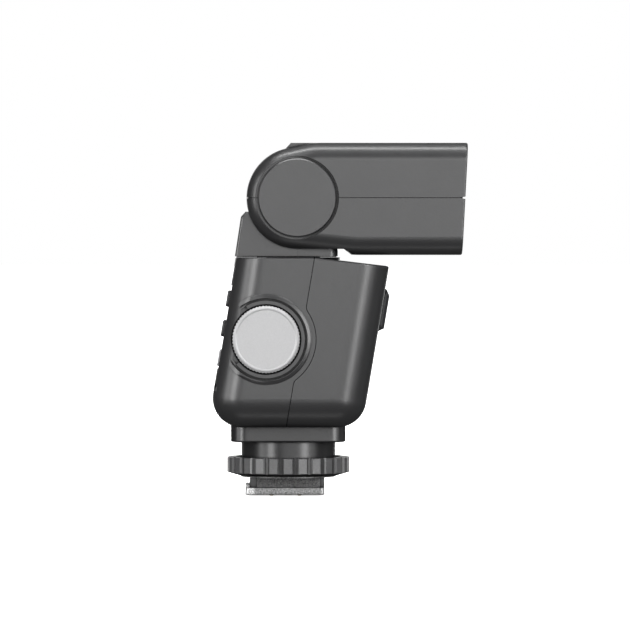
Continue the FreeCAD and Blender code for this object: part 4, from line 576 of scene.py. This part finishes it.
def trigger_winding():
    """The thin trigger wire wound round the flash tube, and the electrodes inside its ends."""
    low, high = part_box("flash_tube")
    middle = (low + high) / 2
    tube_radius = (high.z - low.z) / 2
    wire_radius = 0.11 * MM
    bare_end = 3.6 * MM
    turns = 9
    steps = 24
    start = low.y + bare_end
    end = high.y - bare_end
    ring = tube_radius + wire_radius
    points = []
    for i in range(turns * steps + 1):
        angle = 2 * math.pi * i / steps
        y = start + (end - start) * i / (turns * steps)
        points.append(Vector((middle.x + ring * math.cos(angle), y, middle.z + ring * math.sin(angle))))
    verts, faces = swept(points, wire_radius, lambda p: Vector((p.x - middle.x, 0, p.z - middle.z)))
    piece("trigger_winding", verts, faces, "fastener_steel", "zoom")
    lead = [(0.3, 0.2), (0.4, 0.3), (0.4, 2.6)]
    bead = [(1.1, 2.8), (1.35, 3.1), (1.35, 4.9), (1.1, 5.2), (0.5, 5.3)]
    profile = [(radius * MM, distance * MM) for radius, distance in lead + bead]
    verts, faces = joined([turned(profile, Vector((middle.x, low.y, middle.z)), Vector((0, 1, 0))),
                           turned(profile, Vector((middle.x, high.y, middle.z)), Vector((0, -1, 0)))])
    piece("tube_electrodes", verts, faces, "spring_steel", "zoom")


def bar(across, up, half_length, half_width, upright):
    """A six-sided display bar round a point."""
    tip = half_length + half_width
    flat = [(-tip, 0), (-half_length, half_width), (half_length, half_width), (tip, 0),
            (half_length, -half_width), (-half_length, -half_width)]
    if upright:
        return [(across + side, up + along) for along, side in flat]
    return [(across + along, up + side) for along, side in flat]


def digit_bars(digit, left, bottom, width, height):
    """The outlines of one seven-bar digit, whose bars are named a to g as is usual."""
    thick = 0.13 * width
    gap = 1.6 * thick
    right = left + width
    centre = (left + right) / 2
    top = bottom + height
    middle = bottom + height / 2
    upper = (middle + top) / 2
    lower = (middle + bottom) / 2
    level = {"a": (centre, top), "g": (centre, middle), "d": (centre, bottom)}
    upright = {"f": (left, upper), "b": (right, upper), "e": (left, lower), "c": (right, lower)}
    outlines = []
    for letter in DIGIT_BARS[digit]:
        if letter in level:
            outlines.append(bar(*level[letter], width / 2 - gap, thick / 2, False))
        else:
            outlines.append(bar(*upright[letter], height / 4 - gap, thick / 2, True))
    return outlines


def display_marks():
    """Dark marks on the display, as seen from behind the flash: two numbers, a scale and its pointer."""
    low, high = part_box("display_panel")
    panel_thickness = 2.4 * MM
    origin = (low + high) / 2 + OFF_REAR * (panel_thickness / 2)
    across = Vector((0, -1, 0))
    # The marks are laid out in millimetres, across and up the panel from its middle.
    bottom = 1.4
    outlines = []
    for digit, left in (("2", -10.6), ("4", -6.4)):
        outlines += digit_bars(digit, left, bottom, 3.0, 6.0)
    for digit, left in (("1", 2.2), ("2", 5.0), ("8", 8.6)):
        outlines += digit_bars(digit, left, bottom, 2.2, 4.2)
    for i in range(13):
        half_length = 0.9 if i % 3 == 0 else 0.5
        outlines.append(bar(-10.2 + 1.7 * i, -4.2, half_length, 0.14, True))
    pointer = [(-1.9, -6.6), (-1.0, -6.6), (-1.45, -5.6)]
    outlines.append(pointer)
    tiles = [tile([(x * MM, z * MM) for x, z in outline], origin, across, UP_REAR, OFF_REAR, 0.06 * MM)
             for outline in outlines]
    verts, faces = joined(tiles)
    piece("display_marks", verts, faces, "component", "base")


def dial_lip():
    """The lip on the casing's raised ring, round the front of the dial. Its ends sink into the ring."""
    low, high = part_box("control_dial")
    middle = (low + high) / 2
    gap = 2.33 * MM                                   # from the dial's rim to the lip
    lip_radius = (high.x - low.x) / 2 + gap
    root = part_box("front_shell")[0].y - 0.32 * MM     # a little below the top of the casing's ring
    height = 0.30 * MM
    lowest_share = 0.05
    # Each point of the profile: how far it lies outside that radius in mm, and its share of the height.
    profile = [(-0.28, 0.0), (-0.28, 0.9), (-0.22, 1.0), (-0.16, 1.0), (0.64, 0.05), (0.64, 0.0)]
    reach = math.radians(112)
    fade = math.radians(35)
    steps = 160
    sections = []
    for i in range(steps + 1):
        angle = reach * (2 * i / steps - 1)
        share = min(1.0, (reach - abs(angle)) / fade)
        rise = height * (lowest_share + (1 - lowest_share) * share * (2 - share))
        section = []
        for out, up in profile:
            radius = lip_radius + out * MM
            section.append(Vector((middle.x + radius * math.cos(angle), root - rise * up,
                                   middle.z + radius * math.sin(angle))))
        sections.append(section)
    verts, faces = skinned(sections)
    piece("dial_lip", verts, faces, "body_plastic", "base")


def insulating_sheet():
    """The thin card that stands between the main capacitor and the casing's left side."""
    capacitor_low, capacitor_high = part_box("main_capacitor")
    battery_low, battery_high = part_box("battery_pack")
    thickness = 0.25 * MM
    origin = Vector((0.0, capacitor_high.y + 0.35 * MM, 0.0))
    rear = capacitor_low.x - 1.8 * MM
    front = battery_low.x - 0.4 * MM
    bottom = capacitor_low.z - 3.0 * MM
    top = battery_high.z + 1.8 * MM
    corner = 3.5 * MM
    outline = [(rear, bottom), (front - corner, bottom), (front, bottom + corner), (front, top),
               (rear + corner, top), (rear, top - 2 * corner)]
    verts, faces = tile(outline, origin, Vector((1, 0, 0)), Vector((0, 0, 1)), Vector((0, 1, 0)), thickness)
    piece("insulating_sheet", verts, faces, "component", "base")


# ---- floor, light and camera ----

AIM = Vector((0.0076, 0.0, 0.0510))          # the point in the middle of the view
EYE = Vector((0.0076, -1.4, 0.0681))         # the camera, 0.7 degrees above it
LENS_MM = 280.0
SENSOR_MM = 36.0
LIGHT_DISTANCE = 1.0
PALE = (0.8, 0.8, 0.8)       # the floor's reflectance
FLOOR_GLOW = 0.75            # light of the floor's own, so that the foot's shadow stays faint
BACKDROP = 1.0               # how bright the world looks behind the object
GLOW = 0.09                  # how much light it sheds
SUN_POWER = 6.0
SUN_SPREAD = math.radians(120)


def floor_sheet():
    """A plain pale floor that reaches past the horizon."""
    reach = 30.0
    square = [(-reach, -reach), (reach, -reach), (reach, reach), (-reach, reach)]
    corners = [(x, y, CAD_LOW.z) for x, y in square]
    mesh = bpy.data.meshes.new("floor")
    mesh.from_pydata(corners, [], [(0, 1, 2, 3)])
    floor = bpy.data.objects.new("floor", mesh)
    bpy.context.scene.collection.objects.link(floor)
    material, tree, shader = new_material("pale_floor")
    grain = noise(tree, place(tree), 30 * MM)
    finish_with(
        tree, shader,
        Base_Color=shaded(tree, PALE, grain, 0.01),
        Roughness=0.9,
        Emission_Color=WHITE,
        Emission_Strength=FLOOR_GLOW)
    mesh.materials.append(material)
    floor.visible_diffuse = False
    floor.visible_glossy = False
    floor.visible_shadow = False
    return floor


def direction(azimuth, elevation):
    """A unit vector. Azimuth 0 is towards the camera and grows to its right, elevation is above the floor."""
    around = math.radians(azimuth)
    up = math.radians(elevation)
    return Vector((math.sin(around) * math.cos(up), -math.cos(around) * math.cos(up), math.sin(up)))


def softbox(name, azimuth, elevation, size, power):
    """A rectangular area light that faces the object from a direction."""
    light = bpy.data.lights.new(name, "AREA")
    light.shape = "RECTANGLE"
    light.size, light.size_y = size
    light.energy = power
    lamp = bpy.data.objects.new(name, light)
    bpy.context.scene.collection.objects.link(lamp)
    towards = direction(azimuth, elevation)
    lamp.location = AIM + towards * LIGHT_DISTANCE
    lamp.rotation_euler = towards.to_track_quat("Z", "Y").to_euler()
    lamp.visible_camera = False


def floor_sun(floor):
    """A wide, soft sun for the floor alone, so that it stays white with only a light shadow at the foot."""
    light = bpy.data.lights.new("floor_sun", "SUN")
    light.energy = SUN_POWER
    light.angle = SUN_SPREAD
    lamp = bpy.data.objects.new("floor_sun", light)
    bpy.context.scene.collection.objects.link(lamp)
    only = bpy.data.collections.new("lit_by_floor_sun")
    only.objects.link(floor)
    lamp.light_linking.receiver_collection = only


def surroundings():
    """White behind the object, and a dim even glow for everything else."""
    world = bpy.data.worlds.new("studio")
    bpy.context.scene.world = world
    world.use_nodes = True
    tree = world.node_tree
    tree.nodes.clear()
    white = add(tree, "Background", {"Color": opaque(WHITE), "Strength": BACKDROP})
    glow = add(tree, "Background", {"Color": opaque(WHITE), "Strength": GLOW})
    seen = add(tree, "LightPath").outputs["Is Camera Ray"]
    mix = add(tree, "MixShader", {0: seen, 1: glow.outputs[0], 2: white.outputs[0]})
    out = add(tree, "OutputWorld")
    tree.links.new(mix.outputs[0], out.inputs["Surface"])


def lights():
    """Strips at both sides, a bar overhead, weak fills, and lights for the front and the far side.

    Each has its name, azimuth, elevation, size in metres and power in watts.
    """
    softbox("left_edge", -68, 10, (0.25, 0.7), 2.1)
    softbox("left_strip", -43, 10, (0.24, 0.7), 4.4)
    softbox("right_strip", 40, 10, (0.30, 0.7), 5.4)
    softbox("right_edge", 62, 10, (0.25, 0.7), 0.9)
    softbox("front_fill", 4, 8, (0.75, 0.48), 2.6)
    softbox("high_left", -35, 52, (0.4, 0.3), 1.2)
    softbox("high_right", 40, 52, (0.4, 0.3), 1.6)
    softbox("top_bar", 0, 85, (1.0, 0.18), 6.4)
    softbox("back_rim", 180, 60, (0.6, 0.4), 0.5)
    softbox("floor_bounce", 0, -70, (0.8, 0.12), 0.35)
    softbox("front_side", 105, 15, (0.6, 0.5), 0.9)
    softbox("far_side", 180, 8, (0.9, 0.6), 3.2)


def camera():
    """The photograph's view, from far off and just above the object."""
    data = bpy.data.cameras.new("view")
    data.sensor_width = SENSOR_MM
    data.lens = LENS_MM
    data.clip_end = 100.0
    made = bpy.data.objects.new("view", data)
    bpy.context.scene.collection.objects.link(made)
    made.location = EYE
    made.rotation_euler = (EYE - AIM).to_track_quat("Z", "Y").to_euler()
    bpy.context.scene.camera = made


def stage():
    """Everything round the object."""
    bpy.context.scene.view_settings.view_transform = "Standard"
    surroundings()
    floor_sun(floor_sheet())
    lights()
    camera()


paint_frame()
trigger_winding()
display_marks()
insulating_sheet()
dial_lip()
stage()
